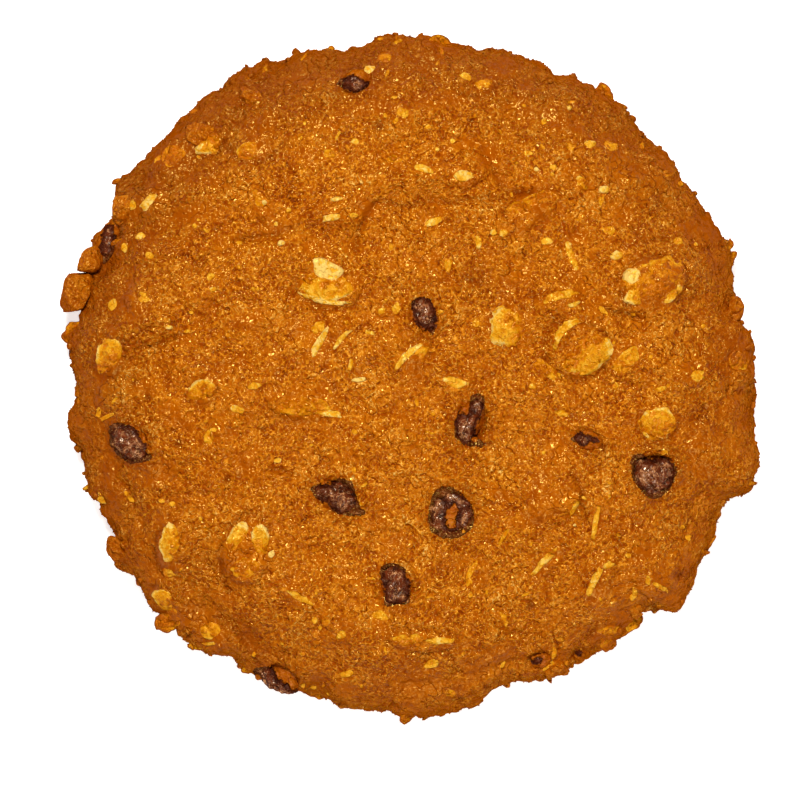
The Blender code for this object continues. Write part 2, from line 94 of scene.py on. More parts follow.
# Broad swells of the crust: x, y, length, width (mm), turn (degrees), height (mm).
SWELLS = (
    (-22, 33, 9, 6, 10, 0.9), (-30, 12, 26, 12, 25, 0.7), (-27, -3, 20, 9, 15, 0.6),
    (-35, -27, 13, 8, 80, 0.8), (-24, -27, 13, 9, 80, 1.1), (-6, 27, 17, 7, 12, 0.8), (8, 29, 14, 8, -5, 1),
    (17, 24, 13, 6, 38, 0.9), (4, 16, 15, 9, 20, 0.5), (36, 14, 13, 10, 20, 1.2), (26, 5, 12, 10, 20, 1.1),
    (41, -1, 9, 8, 70, 0.7), (22, -17, 14, 12, 30, 0.9), (-4, -10, 20, 11, 10, 0.4),
    (2, -39, 20, 7, -4, 0.8), (-12, -34, 15, 8, -30, 0.6), (33, -33, 13, 9, 30, 0.8),
    (-43, 6, 12, 7, 80, 0.8), (-40, 26, 11, 7, 40, 0.7),
)
SWELL_FALL = 0.8  # how fast a swell falls away from its middle
# Creases: the points of each valley line (mm), then its width and depth (mm).
CREASES = (
    (((-8.5, 18), (-6.5, 23), (-4, 26), (5, 26.5), (15, 28)), 1.8, 1),
    (((-27, 20.5), (-20, 21.5), (-15, 22.5), (-9, 21)), 2, 0.8),
    (((10, 35), (13.5, 31), (15.5, 27.5), (20, 27)), 2.2, 0.9),
    (((-42, 2), (-38, 5), (-32, 8.5), (-24, 10)), 2.2, 0.8), (((27, 12), (30.5, 9), (36, 7.5)), 1.6, 0.9),
    (((24, -11), (27, -17), (25, -23)), 1.8, 0.7), (((-30, -22), (-29.5, -28), (-26, -33)), 1.8, 0.8),
    (((-27, -37), (-22, -40), (-19.5, -43.5)), 1.8, 0.7), (((-20, -8), (-12, -14), (-6, -14.5)), 2.4, 0.5),
    (((29, -36), (33, -36), (37, -34)), 1.6, 0.6), (((10, -3), (12, 3), (10, 8)), 2.2, 0.5),
    (((-44.4, 24.6), (-45.6, 20.4), (-46, 16.5)), 1.3, 2.2),
    (((-41, 29), (-34, 35.5), (-25, 41.5)), 1.4, 0.8), (((-28, 44), (-18, 45.5), (-10, 47.5)), 1.4, 0.6),
)
CREASE_WANDER = 1.4 * MM
FINE_CREASE_SHARE = 0.7  # the fine crust's cracks take up the rest of the depth
# Narrow cracks, which only the fine crust shows.
CRACKS = (
    (((-26, 20.2), (-21, 21), (-16, 22.1)), 0.35, 0.5), (((-8, 19), (-7, 22.5), (-5.2, 25.6)), 0.35, 0.6),
    (((-5, 25.8), (0, 25.6), (5, 26), (11, 26.6), (17, 27.4)), 0.35, 0.5),
    (((10.8, 34), (12.6, 31), (13.8, 28), (18.3, 27.2)), 0.35, 0.5),
    (((-40.2, 4), (-36.6, 5), (-33.4, 6.3)), 0.35, 0.5),
    (((24.3, -14), (25.9, -17.5), (26.5, -21.4)), 0.35, 0.45),
    (((28.8, 10), (31.5, 9.6), (34.8, 8.5)), 0.4, 0.7),
    (((-20.7, -14), (-18.4, -14), (-16.2, -14.7)), 0.35, 0.5),
    (((-28.2, -27.4), (-27.9, -29.6), (-26.7, -32)), 0.35, 0.5),
    (((-28.2, -35), (-25.4, -38), (-22.5, -42.5)), 0.4, 0.6),
    (((20.6, 2.6), (21.4, 0.6), (20.6, -1.4)), 0.35, 0.4),
    (((2.6, -16.4), (5.4, -15.6), (9.4, -16.4)), 0.35, 0.35),
    (((-31.4, 15.6), (-29.4, 18), (-25.4, 19)), 0.35, 0.4),
    (((33, 22.4), (35.4, 20), (38.6, 20.4)), 0.35, 0.4), (((-3.6, -22), (-6, -24), (-6.6, -27)), 0.35, 0.35),
    (((12, -36), (15.6, -38.2), (19.6, -38.4)), 0.35, 0.4),
)
CRACK_WANDER = 0.5 * MM
# Rounded grooves along the edges of flakes under the crust, which only the fine crust shows: middle x and y,
# length, width (mm), turn, first and last angle (degrees), then the groove's width and depth (mm).
EDGE_GROOVES = (
    (25.5, 3.7, 9, 8.6, 20, -160, 75, 0.42, 0.42), (24.9, 4.6, 9.4, 9.6, 20, 95, 190, 0.42, 0.34),
    (36.2, 14, 10.2, 7.8, 15, 40, 190, 0.42, 0.36), (36.2, 14, 10.4, 8, 15, -60, 20, 0.42, 0.36),
    (33.2, 11.9, 3.4, 3.4, 0, 120, 300, 0.38, 0.3), (15, 7.4, 6, 6, 0, 100, 290, 0.42, 0.34),
    (-11.7, 13.2, 9.8, 6.4, -12, 180, 350, 0.42, 0.36), (-12.2, 15.6, 6, 4, -25, -40, 60, 0.38, 0.26),
    (-15.6, -4.3, 10.4, 4.6, -4, 180, 345, 0.42, 0.3), (0.2, 2.6, 7.6, 4.4, 43, -60, 80, 0.42, 0.3),
    (21.2, -17.6, 10.4, 8.6, 30, 200, 330, 0.45, 0.34), (37.3, -7, 6.2, 5.4, 35, 100, 330, 0.42, 0.3),
    (-24, -25.6, 10.6, 7.6, 80, -10, 200, 0.45, 0.36), (-24, -25.6, 10.6, 7.6, 80, 230, 330, 0.45, 0.3),
    (-35.2, -25.4, 7.6, 4.8, 78, 0, 200, 0.42, 0.34), (-30.5, -2.1, 4.8, 4.2, 30, 60, 300, 0.42, 0.3),
    (-29.6, 34.7, 5, 3.2, 30, 120, 340, 0.4, 0.3), (-44.4, 3, 6.6, 4.4, 75, 100, 330, 0.42, 0.34),
    (2.1, -39, 10.4, 3.4, -3, 20, 200, 0.42, 0.3), (2.1, -39.2, 10.6, 3.6, -3, 220, 340, 0.42, 0.26),
    (29.9, -38.4, 5.2, 3.4, 5, 20, 170, 0.4, 0.34), (-22.6, 35.6, 9, 7.4, 10, 190, 330, 0.45, 0.34),
    (18.3, 25.2, 9.4, 4.6, 24, 10, 170, 0.42, 0.3), (10.1, 43.4, 6.4, 3.6, 5, 190, 350, 0.4, 0.28),
    (-37, -33, 4.6, 4.2, 0, 100, 300, 0.4, 0.3),
)
GROOVE_POINTS = 14
GROOVE_WANDER_SHARE = 0.6  # of how far the cracks wander
# Ledges along the shoulder, where the rim slumped as it baked: first and last angle (degrees), height of the
# line on the shoulder, width and depth (mm). Only the fine crust shows them.
LEDGES = (
    (118, 178, 10.6, 0.55, 0.7), (182, 252, 10.2, 0.5, 0.55), (28, 62, 10.4, 0.5, 0.4),
    (262, 300, 10, 0.5, 0.45), (-40, 10, 9.8, 0.5, 0.4),
)
LEDGE_ENDS = 8  # degrees over which a ledge dies away
LEDGE_WANDER = 0.9 * MM
# Unevenness of the dough, from the broadest to the finest: wavelength and height (mm).
LUMPS = ((15, 0.75), (7, 0.55), (4, 0.35))
FINE_LUMPS = ((2.3, 0.28), (1.3, 0.26))
LUMPS_SEED = 11.3
SIDE_ROUGHNESS = 0.9  # how much more uneven the upright side is than the level top
STEADY_HEIGHT = 2.4 * MM  # below it the relief dies away toward the flat foot

# Oat flakes that lie under or in the crust and lift it: x, y, length, width (mm), turn (degrees).
FLAKES = (
    (-11.7, 13.8, 8.4, 6.3, -12), (-12, 5.6, 6.9, 4.5, 55), (0.3, 2.3, 6, 3.6, 48),
    (6.9, -0.9, 4.4, 2.6, -12), (-15.5, -4.3, 10.4, 4.6, -4), (15.2, 7.5, 6.6, 5.4, -10),
    (25.8, 4.3, 8.7, 7, 20), (36.3, 14, 9, 7, 20), (32.1, 2.8, 6, 3.6, 45), (37.4, -6.6, 5.4, 4.8, 20),
    (28.4, -20.7, 6.6, 2.4, 80), (20.3, -27.9, 6.6, 2.6, 47), (28.4, -30.8, 6.6, 2.6, 66),
    (31, -38.2, 6.6, 4.2, 25), (-16.2, -32.7, 6, 2.4, -32), (2.1, -39, 9, 3.2, -3),
    (-24, -25.8, 9.3, 6.9, 78), (-34.8, -25.2, 7.5, 4.6, 78), (-36.6, -33.4, 4.2, 3.2, -40),
    (-44.4, 3, 6.6, 4, 75), (-30.6, -2.2, 4.4, 3.8, 60), (-38.7, 25.7, 6, 3.8, 40),
    (-28.8, 35.3, 5.4, 3.4, 30), (-21.8, 25.8, 5, 2.6, -62), (3.3, 30.8, 5.1, 2.6, -10),
    (8.6, 29.9, 5.1, 3.4, 10), (11.1, 43, 4.4, 3, 15), (25.4, 29, 6, 3.4, -50), (16.8, 24, 8.4, 4.4, 38),
    (22.1, 11.6, 6.2, 2.8, 15), (42.3, 0.4, 4.4, 3.6, 10), (21.4, -17, 9, 6.4, 30), (-1.2, 38.8, 3.8, 3, 20),
    (-12.6, 23.8, 5.4, 2.8, 8), (-24.6, -5, 3.8, 2.8, -35), (36, -31.2, 4.6, 3, -30),
    (-9.6, -37.8, 4.2, 2.8, 20), (10.6, -29.4, 4.6, 2.6, 74),
)
MOUND_HEIGHT = 0.32 * MM
MOUND_TOP = 1.04  # share of the flake's half size that the mound's level top covers
MOUND_EDGE = 0.20
MOUND_WANDER = 0.09
SIDE_FLAKES = 8
SIDE_FLAKE_SIZE = (6.4, 4.6)
SIDE_FLAKE_HEIGHTS = (5.0, 9.0)

# Smooth pools of the syrupy film: x, y, length, width (mm), turn (degrees).
FILM_POOLS = (
    (-32, 23.6, 9, 4, 5), (-29, 28.9, 3, 2.4, 0), (-19, 21.7, 8, 1.8, 8), (-22.9, 37.4, 6, 3.4, 20),
    (-22.2, 33.6, 5, 3.6, 0), (-13.8, -2.8, 10, 3.2, -5), (0.8, -0.6, 5.6, 4.2, 20), (1.8, 17.3, 7, 3, 10),
    (-17, 6.8, 4.6, 3.4, 60), (-4.6, 8.8, 6.4, 1.4, -5), (-9.4, 13.6, 4, 3, 40), (17.1, 15.3, 5.4, 3, 20),
    (27.6, 8.2, 5, 1.6, -10), (20.9, -19, 8.6, 6, 30), (13.5, -17.3, 6, 2.2, -15),
    (21.9, -11.2, 6.4, 4.4, 10), (30.6, -31.4, 4.4, 6.8, 10), (-5.8, 39.8, 9, 2.6, 8),
    (5.7, 41.3, 12, 3.2, 0), (8.5, 34.3, 6.6, 2.2, 15), (-15.4, 44.4, 9, 3.4, 10), (3.8, 47.6, 9, 4, 0),
    (-6.2, 24.9, 3, 4.4, 20), (-10.6, 38, 4.6, 2.4, 20), (12, 32.8, 2.8, 5.2, 30),
    (17.6, 25.6, 8.4, 3.8, 33), (20.8, 38.1, 13, 4.4, -20), (33, 31.8, 13, 5.4, -45),
    (14.1, 29, 5.4, 2.2, -30), (-39.6, -1.5, 5.4, 3.2, -20), (-34.3, -5.4, 6.6, 4.2, -30),
    (-37.5, -14.5, 6.6, 3.4, 10), (-44.2, -16.2, 3.2, 9, 15), (-32.6, -18.5, 5.4, 2.4, 0),
    (-23.8, -12.4, 3.4, 5.4, 0), (-27, -5, 4.4, 1.8, -10), (-27.3, -27.8, 4, 6, 10),
    (-23.1, -28.4, 6, 3, -10), (-38.4, -27.8, 3.2, 8.6, 10), (-28.3, -38.9, 9, 4.4, -40),
    (-23.4, -39.4, 6.4, 3.2, -40), (-31.5, -34.9, 8.4, 3.2, -10), (1.7, -45.8, 15, 4.4, 0),
    (-9.9, -46.6, 9, 2.6, -10), (12.2, -42.2, 11, 4.2, 18), (35.2, -26, 4.6, 3.4, 0),
    (38.6, -33.8, 6.6, 2.6, -40), (29, -22, 3, 4.6, 10), (43, -12, 5, 9, 10), (45, 22, 5, 8, 25),
    (-42, 11, 6, 6, 0), (-24, 8.4, 7, 2, 15), (25.4, 21, 5, 2.4, 20), (32, 24, 5, 3, 30),
)

# Raisins: x, y, length, width, height (mm), turn (degrees), depth of the middle under the crust (mm).
RAISINS = {
    "raisin_centre": (2.4, 9.3, 6.6, 4.7, 4.2, 108, 0.7),
    "raisin_comma": (9.3, -6.8, 8, 5.6, 4.4, 66, 0.8),
    "raisin_ring": (6.4, -20.1, 7.6, 7, 4.6, 30, 0.9),
    "raisin_pointed": (-10.6, -17.6, 7.6, 5.4, 4.4, -28, 0.7),
    "raisin_low": (-1.8, -30.8, 6.6, 5.2, 4.4, 100, 0.6),
    "raisin_heart": (36.4, -14.2, 7.4, 7.2, 4.8, 90, 0.7),
    "raisin_left": (-41, -9.7, 7.2, 5.2, 4.6, -42, 0.3),
    "raisin_small": (26.7, -9.4, 5.2, 3.6, 3.4, -25, 1.1),
    "raisin_top": (-7.6, 43.8, 5.2, 4, 3.6, 10, 0.9),
    "raisin_rim": (-19, -45, 7, 4.6, 4.8, -32, 1.2),
    "raisin_flank": (-44.6, 20.2, 6.4, 4.2, 4.2, 66, 1.1),
    "raisin_peep": (19.6, -42.2, 4.2, 3, 3.2, 10, 1.1),
    "raisin_glint": (25.6, -41.2, 3.4, 2.6, 2.8, -20, 0.9),
}
# Where each raisin shows through the crust, seen from above: the corners (mm) of the edge that the dough has
# crept to. The part of a raisin outside them is under a skin of dough.
RAISIN_OUTLINES = {
    "raisin_centre": (
        (0.6, 11.2), (1.2, 11.6), (1.8, 11.8), (2.7, 11.6), (3.3, 11.2), (3.6, 10.7), (4, 9.9), (4.2, 8.8),
        (4.1, 7.8), (3.9, 6.9), (3.6, 6.2), (3.1, 6.8), (2.7, 7.1), (1.8, 7.3), (1.2, 7.7), (0.8, 8.4),
        (0.9, 9.2), (0.6, 10), (0.4, 10.8),
    ),
    "raisin_comma": (
        (9.4, -2.9), (9.9, -2.5), (10.5, -2.5), (11.1, -3), (11.4, -3.6), (11.2, -4.5), (10.9, -5.2),
        (10.5, -6.1), (10.2, -6.9), (9.6, -7.5), (9.9, -8.1), (10.2, -8.8), (10.5, -9.4), (11.4, -9.9),
        (12.4, -9.6), (12.8, -9.9), (11.8, -10.3), (10.5, -10.4), (9.3, -10.2), (8.2, -10), (7.6, -9.5),
        (7, -8.8), (6.8, -8.1), (6.9, -7.2), (7, -6.5), (7.3, -5.7), (7.8, -5.2), (8.2, -5.4), (8.7, -5.8),
        (9, -5.2), (9.2, -4.5), (9.2, -3.6),
    ),
    "raisin_ring": (
        (4.3, -16.6), (5.4, -16.3), (6.6, -16.5), (7.8, -17.3), (8.9, -18.4), (9.6, -19.6), (9.8, -21),
        (9.4, -22.5), (8.2, -23.4), (6.6, -24), (4.8, -23.7), (3.4, -22.9), (3, -21.1), (3.2, -19.1),
        (3.7, -17.4), (4.3, -16.6), (5.9, -19.3), (5.4, -20.5), (5.6, -21.8), (6.2, -22.7), (7, -22.4),
        (7.3, -21.2), (7.5, -20), (7, -18.9), (5.9, -19.3),
    ),
    "raisin_pointed": (
        (-14.4, -16.6), (-13.9, -16.2), (-13.2, -15.9), (-12.3, -16.1), (-11.5, -16.1), (-10.8, -15.4),
        (-10.2, -15.1), (-9.2, -15.3), (-8.4, -15.6), (-8.1, -16.3), (-7.9, -17.1), (-7.8, -18),
        (-7.3, -18.9), (-6.9, -19.6), (-5.8, -20.2), (-5.7, -20.5), (-6.6, -20.6), (-7.8, -20.5),
        (-8.7, -20.6), (-9.8, -20.4), (-10.7, -20), (-11.2, -19.3), (-11.7, -18.6), (-12.8, -18.4),
        (-13.5, -18), (-14.1, -17.4),
    ),
    "raisin_low": (
        (-4, -28.2), (-3.3, -27.8), (-2.7, -27.6), (-1.8, -27.8), (-0.9, -28.1), (-0.4, -28.6),
        (-0.3, -29.5), (0.1, -30.1), (0.4, -30.8), (0, -31.3), (0.1, -31.9), (0.3, -32.7), (0.1, -33.4),
        (-0.6, -33.7), (-1.5, -33.5), (-2.4, -33.8), (-3, -34.1), (-3.4, -33.8), (-3.5, -33), (-3.4, -31.9),
        (-3.5, -30.9), (-3.8, -30), (-4.2, -29.1),
    ),
    "raisin_heart": (
        (33.1, -12), (33.8, -11.5), (34.5, -11.5), (35.2, -11.8), (35.9, -12.4), (36.4, -12.6),
        (37.2, -12.2), (37.9, -11.8), (38.7, -12), (39.3, -12.6), (39.7, -13.3), (39.8, -14.2),
        (39.5, -15.3), (39, -16.2), (38.4, -17), (37.5, -17.7), (36.4, -18.1), (35.5, -17.8), (34.8, -17.1),
        (34.2, -16.3), (33.6, -15.6), (33.2, -14.7), (33.1, -13.5), (33, -12.6),
    ),
    "raisin_left": (
        (-44.2, -7.3), (-43.6, -6.9), (-42.9, -6.8), (-42.1, -7), (-41.2, -7.5), (-40.5, -7.9),
        (-39.9, -8.7), (-39.3, -9.6), (-38.7, -10.7), (-38.1, -11.5), (-37.9, -12.1), (-38.5, -12.4),
        (-39.4, -12.6), (-40.5, -12.8), (-41.5, -12.7), (-42.3, -12.2), (-43.2, -11.5), (-43.8, -10.8),
        (-44.2, -10), (-44.3, -9.2), (-44.4, -8.1),
    ),
    "raisin_small": (
        (24.1, -9.2), (24.6, -8.8), (25.3, -8.5), (26.1, -8.4), (26.8, -8.7), (27.6, -9), (28.1, -9.4),
        (27.6, -9.7), (26.8, -9.7), (26.4, -10.2), (25.8, -10.4), (25.2, -9.9), (24.6, -9.6),
    ),
    "raisin_top": (
        (-10.7, 43.6), (-10, 44.2), (-9.3, 44.5), (-8.4, 44.7), (-7.5, 44.5), (-6.6, 44.1), (-5.8, 43.6),
        (-5.8, 43.2), (-6.6, 42.9), (-7.2, 42.4), (-8.1, 42.2), (-8.7, 42.6), (-9.6, 42.9), (-10.3, 43.3),
    ),
    "raisin_rim": (
        (-21.1, -43.2), (-20.2, -43.6), (-19.8, -44.4), (-19.3, -45.3), (-18.4, -45.8), (-17.8, -46.4),
        (-17.1, -46.9), (-16.2, -47.4), (-15.3, -47.5), (-15, -49.4), (-16.8, -51.1), (-19.8, -50.9),
        (-22.8, -49.4), (-24.6, -46.6), (-23.1, -43.6),
    ),
    "raisin_peep": (
        (18.3, -42.3), (18.8, -41.9), (19.3, -41.8), (19.9, -42), (19.8, -42.4), (19.2, -42.6),
        (18.4, -42.6),
    ),
    "raisin_glint": (
        (25.2, -41), (25.6, -40.9), (25.9, -41.2), (25.7, -41.5), (25.3, -41.4),
    ),
    "raisin_flank": (
        (-45.3, 22.8), (-44.3, 22.6), (-43.7, 20.8), (-44, 18.8), (-44.6, 17.4), (-45.6, 16.8),
        (-46.1, 18.2), (-45.8, 20.4),
    ),
}
PIT_DEPTH = 2.0 * MM
PIT_FLOOR = 0.60  # share of the raisin's half size to which the pit is deep
PIT_WALL = 0.20
PIT_WANDER = (0.16, 0.08)  # how far its edge wanders broadly and finely, as shares of the same half size
PIT_LIP = 0.34 * MM
LIP_PLACE = 1.02
LIP_WIDTH = 0.24
SKIN_REACH = 0.30 * MM  # how far past its outline a raisin still shows in the crust
SKIN_FADE = 0.45 * MM
SKIN_LIMIT = 1.45  # share of the raisin's half size past which none of it shows
SKIN_LIMIT_FADE = 0.25
# How deep the pit is round a raisin that is nearly baked in, against the others' pits.
FILLED_PITS = {"raisin_flank": 0.2, "raisin_peep": 0.3, "raisin_glint": 0.1, "raisin_rim": 0.5,
               "raisin_top": 0.7, "raisin_small": 0.7}
# Holes in the crust, partly dark red flecks of raisin and partly painted shade: x, y, size (mm).
DARK_HOLES = (
    (-34.1, -9.8, 0.9), (-38.7, -3, 0.8), (-40.6, -0.8, 0.7), (-26.9, -15.2, 0.8), (-21.7, -7.8, 0.7),
    (-4.3, 37.1, 1.1), (18.2, -33.8, 1), (40.4, -29.7, 1.1), (4.5, -7.5, 0.6), (12, -9.9, 0.7),
    (11.8, -46.5, 0.8), (28.8, -10.4, 0.9),
)
HOLE_DEPTH = 0.3 * MM
HOLE_FALL = 1.6
# A raisin wholly under the crust, which stains it: middle x and y, reach of the stain (mm).
BURIED_RAISIN = (10.05, 14.25, 2.6)
BURIED_STAIN = 0.45
BURIED_NARROWNESS = 1.3  # how much less far the stain reaches along y
SHADED_SIDE = (-0.5, 0.87)  # the way to the side where the rim is painted darker: painted shade, not oven heat
BROWNED_AND_SHADED_BAND = (0.66, 0.30)  # share of the radius where the rim's darkening begins, and the width it grows over: partly browning, partly painted shade
FILM_BAND = (0.80, 0.16)  # the same for the film, which is thicker there
POOL_FALL = 0.62  # how fast the film thins from the middle of a pool

CRUST_CELLS = 292
COARSE_CELLS = 46  # as in the solid, so that every flake and raisin sits where it does there
RINGS_ON_TOP = 0.82  # share of the crust's rings that lie on its top, where the photo looks
TOP_OF_SECTION = 0.74  # share of the section's length that the top takes
UNDERSIDE_RINGS = (0.985, 0.95, 0.86, 0.7, 0.5, 0.3, 0.12)


def smoothstep(share):
    share = np.clip(share, 0, 1)
    return share * share * (3 - 2 * share)


def dough_section():
    """Half of the dough's section, from the crown's middle to the foot: share of the way, radius, height."""
    turn = np.linspace(0, math.pi / 2, 400)
    crown_radii = MEAN_RADIUS * np.sin(turn) ** (2 / SHOULDER_POWER)
    crown_heights = WIDEST_HEIGHT + (CROWN_HEIGHT - WIDEST_HEIGHT) * np.cos(turn) ** (2 / DROP_POWER)
    radii = np.concatenate([crown_radii, MEAN_RADIUS - FOOT_TUCK * (1 - np.cos(turn[1:]))])
    heights = np.concatenate([crown_heights, WIDEST_HEIGHT * (1 - np.sin(turn[1:]))])
    along = np.concatenate([[0], np.cumsum(np.hypot(np.diff(radii), np.diff(heights)))])
    return along / along[-1], radii, heights


def rim_offset(angle):
    total = 0
    for middle, before, after, height in RIM_LOBES:
        apart = (np.degrees(angle) - middle + 180) % 360 - 180
        total = total + height * MM * np.exp(-((apart / np.where(apart < 0, before, after)) ** 2))
    return total


def along_and_across(x, y, middle_x, middle_y, turn):
    """How far places lie along and across an oval that is turned about its middle (mm)."""
    c, s = math.cos(math.radians(turn)), math.sin(math.radians(turn))
    dx, dy = x - middle_x * MM, y - middle_y * MM
    return dx * c + dy * s, dy * c - dx * s


def swell_height(x, y):
    total = 0
    for middle_x, middle_y, length, width, turn, height in SWELLS:
        along, across = along_and_across(x, y, middle_x, middle_y, turn)
        spread = (2 * along / (length * MM)) ** 2 + (2 * across / (width * MM)) ** 2
        total = total + height * MM * np.exp(-spread * SWELL_FALL)
    return total


def distance_to_line(x, y, points):
    nearest = np.inf
    for (x1, y1), (x2, y2) in zip(points, points[1:]):
        dx, dy = (x2 - x1) * MM, (y2 - y1) * MM
        share = np.clip(((x - x1 * MM) * dx + (y - y1 * MM) * dy) / (dx * dx + dy * dy), 0, 1)
        nearest = np.minimum(nearest, np.hypot(x - x1 * MM - share * dx, y - y1 * MM - share * dy))
    return nearest


def valley_depth(points, lines, wander=0):
    """How deep (m) these lines cut the dough at each point."""
    total = 0
    for line, width, depth in lines:
        away = distance_to_line(points[:, 0] + wander, points[:, 1] - wander, line)
        total = total + depth * MM * np.exp(-((away / (width * MM)) ** 2))
    return total


def outside_outline(points, corners):
    """How far (m) each point lies outside the outline, or less than 0 for one within it."""
    x, y = points[:, 0], points[:, 1]
    ring = corners + corners[:1]
    inside = np.zeros(len(x), bool)
    for (x1, y1), (x2, y2) in zip(ring, ring[1:]):
        if y1 != y2:
            crossing = x1 * MM + (y - y1 * MM) * (x2 - x1) / (y2 - y1)
            inside ^= ((y1 * MM > y) != (y2 * MM > y)) & (x < crossing)
    return distance_to_line(x, y, ring) * np.where(inside, -1, 1)


def groove_line(x, y, length, width, turn, first, last):
    """The points of one rounded groove, as those of the creases and cracks are."""
    angle = np.radians(np.linspace(first, last, GROOVE_POINTS))
    c, s = math.cos(math.radians(turn)), math.sin(math.radians(turn))
    along, across = length / 2 * np.cos(angle), width / 2 * np.sin(angle)
    return tuple(zip(x + along * c - across * s, y + along * s + across * c))


GROOVES = [(groove_line(*row[:7]), *row[7:]) for row in EDGE_GROOVES]


def ledge_depth(angle, height):
    total = 0
    for first, last, line_height, width, depth in LEDGES:
        apart = np.abs((np.degrees(angle) - (first + last) / 2 + 180) % 360 - 180)
        along = smoothstep(((last - first) / 2 - apart) / LEDGE_ENDS)
        total = total + along * depth * MM * np.exp(-(((height - line_height * MM) / (width * MM)) ** 2))
    return total


def noise_at(points, wavelength, seed=0.0):
    """Smooth noise from -1 to 1 at each point, with lumps about one wavelength (mm) apart."""
    places = points / (wavelength * MM) + (0, 0, seed)
    return np.array([noise.noise(Vector(place)) for place in places])


def lump_height(points, layers):
    total = np.zeros(len(points))
    for wavelength, height in layers:
        total += height * MM * noise_at(points, wavelength, LUMPS_SEED * wavelength)
    return total


def disc_places(u, v):
    """The square from -1 to 1 laid on the round: each point's share of the way out, and its angle."""
    sideways = np.abs(u) >= np.abs(v)
    longer = np.where(sideways, u, v)
    turned = math.pi / 4 * np.where(sideways, v, u) / np.where(longer == 0, 1, longer)
    angle = np.where(sideways, turned, math.pi / 2 - turned)
    return np.abs(longer), np.where(longer < 0, angle + math.pi, angle)


def dough_points(u, v, fine):
    """Where points of the square lie on the dough, and which way it faces there."""
    along, radii, heights = dough_section()
    out, angle = disc_places(u, v)
    if fine:
        out = np.interp(out, (0, RINGS_ON_TOP, 1), (0, TOP_OF_SECTION, 1))
    radius, height = np.interp(out, along, radii), np.interp(out, along, heights)
    before, after = out - SLOPE_STEP, out + SLOPE_STEP
    run = np.interp(after, along, radii) - np.interp(before, along, radii)
    fall = np.interp(before, along, heights) - np.interp(after, along, heights)
    upright, steep = run / np.hypot(run, fall), fall / np.hypot(run, fall)
    rim_share = smoothstep((radius / MEAN_RADIUS - RIM_BEGINS) / (1 - RIM_BEGINS))
    rim_share = rim_share * (1 - FOOT_EVENNESS * (1 - smoothstep(height / WIDEST_HEIGHT)))
    radius = radius + rim_offset(angle) * rim_share
    turned = np.stack([radius * np.cos(angle), radius * np.sin(angle), height], axis=1)
    points = turned + ROUND_MIDDLE
    facing_up = np.maximum(upright, 0)
    relief = lump_height(turned, LUMPS) * (1 + SIDE_ROUGHNESS * (1 - facing_up))
    bend = CREASE_WANDER * noise_at(turned, wavelength=4.5, seed=2.0) if fine else 0
    crease_share = FINE_CREASE_SHARE if fine else 1
    relief += (swell_height(points[:, 0], points[:, 1])
               - crease_share * valley_depth(points, CREASES, bend)) * facing_up
    if fine:
        relief += lump_height(turned, FINE_LUMPS) * (1 + SIDE_ROUGHNESS * (1 - facing_up))
        wander = CRACK_WANDER * noise_at(turned, wavelength=2.5, seed=4.0)
        relief -= valley_depth(points, CRACKS, wander) * facing_up
        relief -= valley_depth(points, GROOVES, wander * GROOVE_WANDER_SHARE) * facing_up
        relief -= ledge_depth(angle, height + LEDGE_WANDER * noise_at(turned, wavelength=5.0, seed=6.0))
    relief *= smoothstep(height / STEADY_HEIGHT)
    outward = np.stack([steep * np.cos(angle), steep * np.sin(angle), upright], axis=1)
    return points + outward * relief[:, None], outward


def dough_grid(cells, fine):
    """The crust as a grid laid over the round, its points in order and the way they face."""
    bm = bmesh.new()
    bmesh.ops.create_grid(bm, x_segments=cells, y_segments=cells, size=1)
    square = np.array([vertex.co for vertex in bm.verts])
    points, outward = dough_points(square[:, 0], square[:, 1], fine)
    return bm, points, outward


def set_points(bm, points):
    for vertex, place in zip(bm.verts, points):
        vertex.co = place


def crust_direction(tree, place, reach):
    total = Vector()
    for _, normal, _, _ in tree.find_nearest_range(place, reach):
        total += normal
    return total.normalized()


def seat(place, direction, turn):
    """A frame at place whose Z is the direction, and which is turned about it (degrees)."""
    upright = Vector((0, 0, 1)).rotation_difference(direction).to_matrix().to_4x4()
    return Matrix.Translation(place) @ upright @ Matrix.Rotation(math.radians(turn), 4, "Z")


def crust_below(tree, x, y):
    return tree.ray_cast(Vector((x * MM, y * MM, 2 * CROWN_HEIGHT)), Vector((0, 0, -1)))[0]


def side_at(tree, angle, height):
    """The side's point at this angle (degrees) and height (mm), and the level way out of it."""
    way_out = Vector((math.cos(math.radians(angle)), math.sin(math.radians(angle)), 0))
    return tree.ray_cast(way_out * 2 * MEAN_RADIUS + Vector((0, 0, height * MM)), -way_out)[0], way_out


coarse, coarse_points, _ = dough_grid(COARSE_CELLS, fine=False)
set_points(coarse, coarse_points)
coarse_tree = BVHTree.FromBMesh(coarse)
coarse.free()

flake_seats = []
for x, y, length, width, turn in FLAKES:
    place = crust_below(coarse_tree, x, y)
    direction = crust_direction(coarse_tree, place, max(width / 2, 2) * MM)
    flake_seats.append((seat(place, direction, turn), length * MM, width * MM))

draw = np.random.default_rng(7)
side_flakes = []
for index in range(SIDE_FLAKES):
    angle = 360 * (index + draw.uniform(-0.3, 0.3)) / SIDE_FLAKES
    place, _ = side_at(coarse_tree, angle, draw.uniform(*SIDE_FLAKE_HEIGHTS))
    length, width = np.array(SIDE_FLAKE_SIZE) * draw.uniform(0.8, 1.15)
    turn, _ = draw.uniform(-180, 180), draw.uniform(-14, 14)
    direction = crust_direction(coarse_tree, place, width / 2 * MM)
    side_flakes.append((seat(place, direction, turn), length * MM, width * MM))

raisin_seats = {}
for name, (x, y, _, _, _, turn, _) in RAISINS.items():
    place = crust_below(coarse_tree, x, y)
    direction = crust_direction(coarse_tree, place, 3 * MM)
    raisin_seats[name] = seat(place, direction, turn)

dough_bm, points, outward = dough_grid(CRUST_CELLS, fine=True)


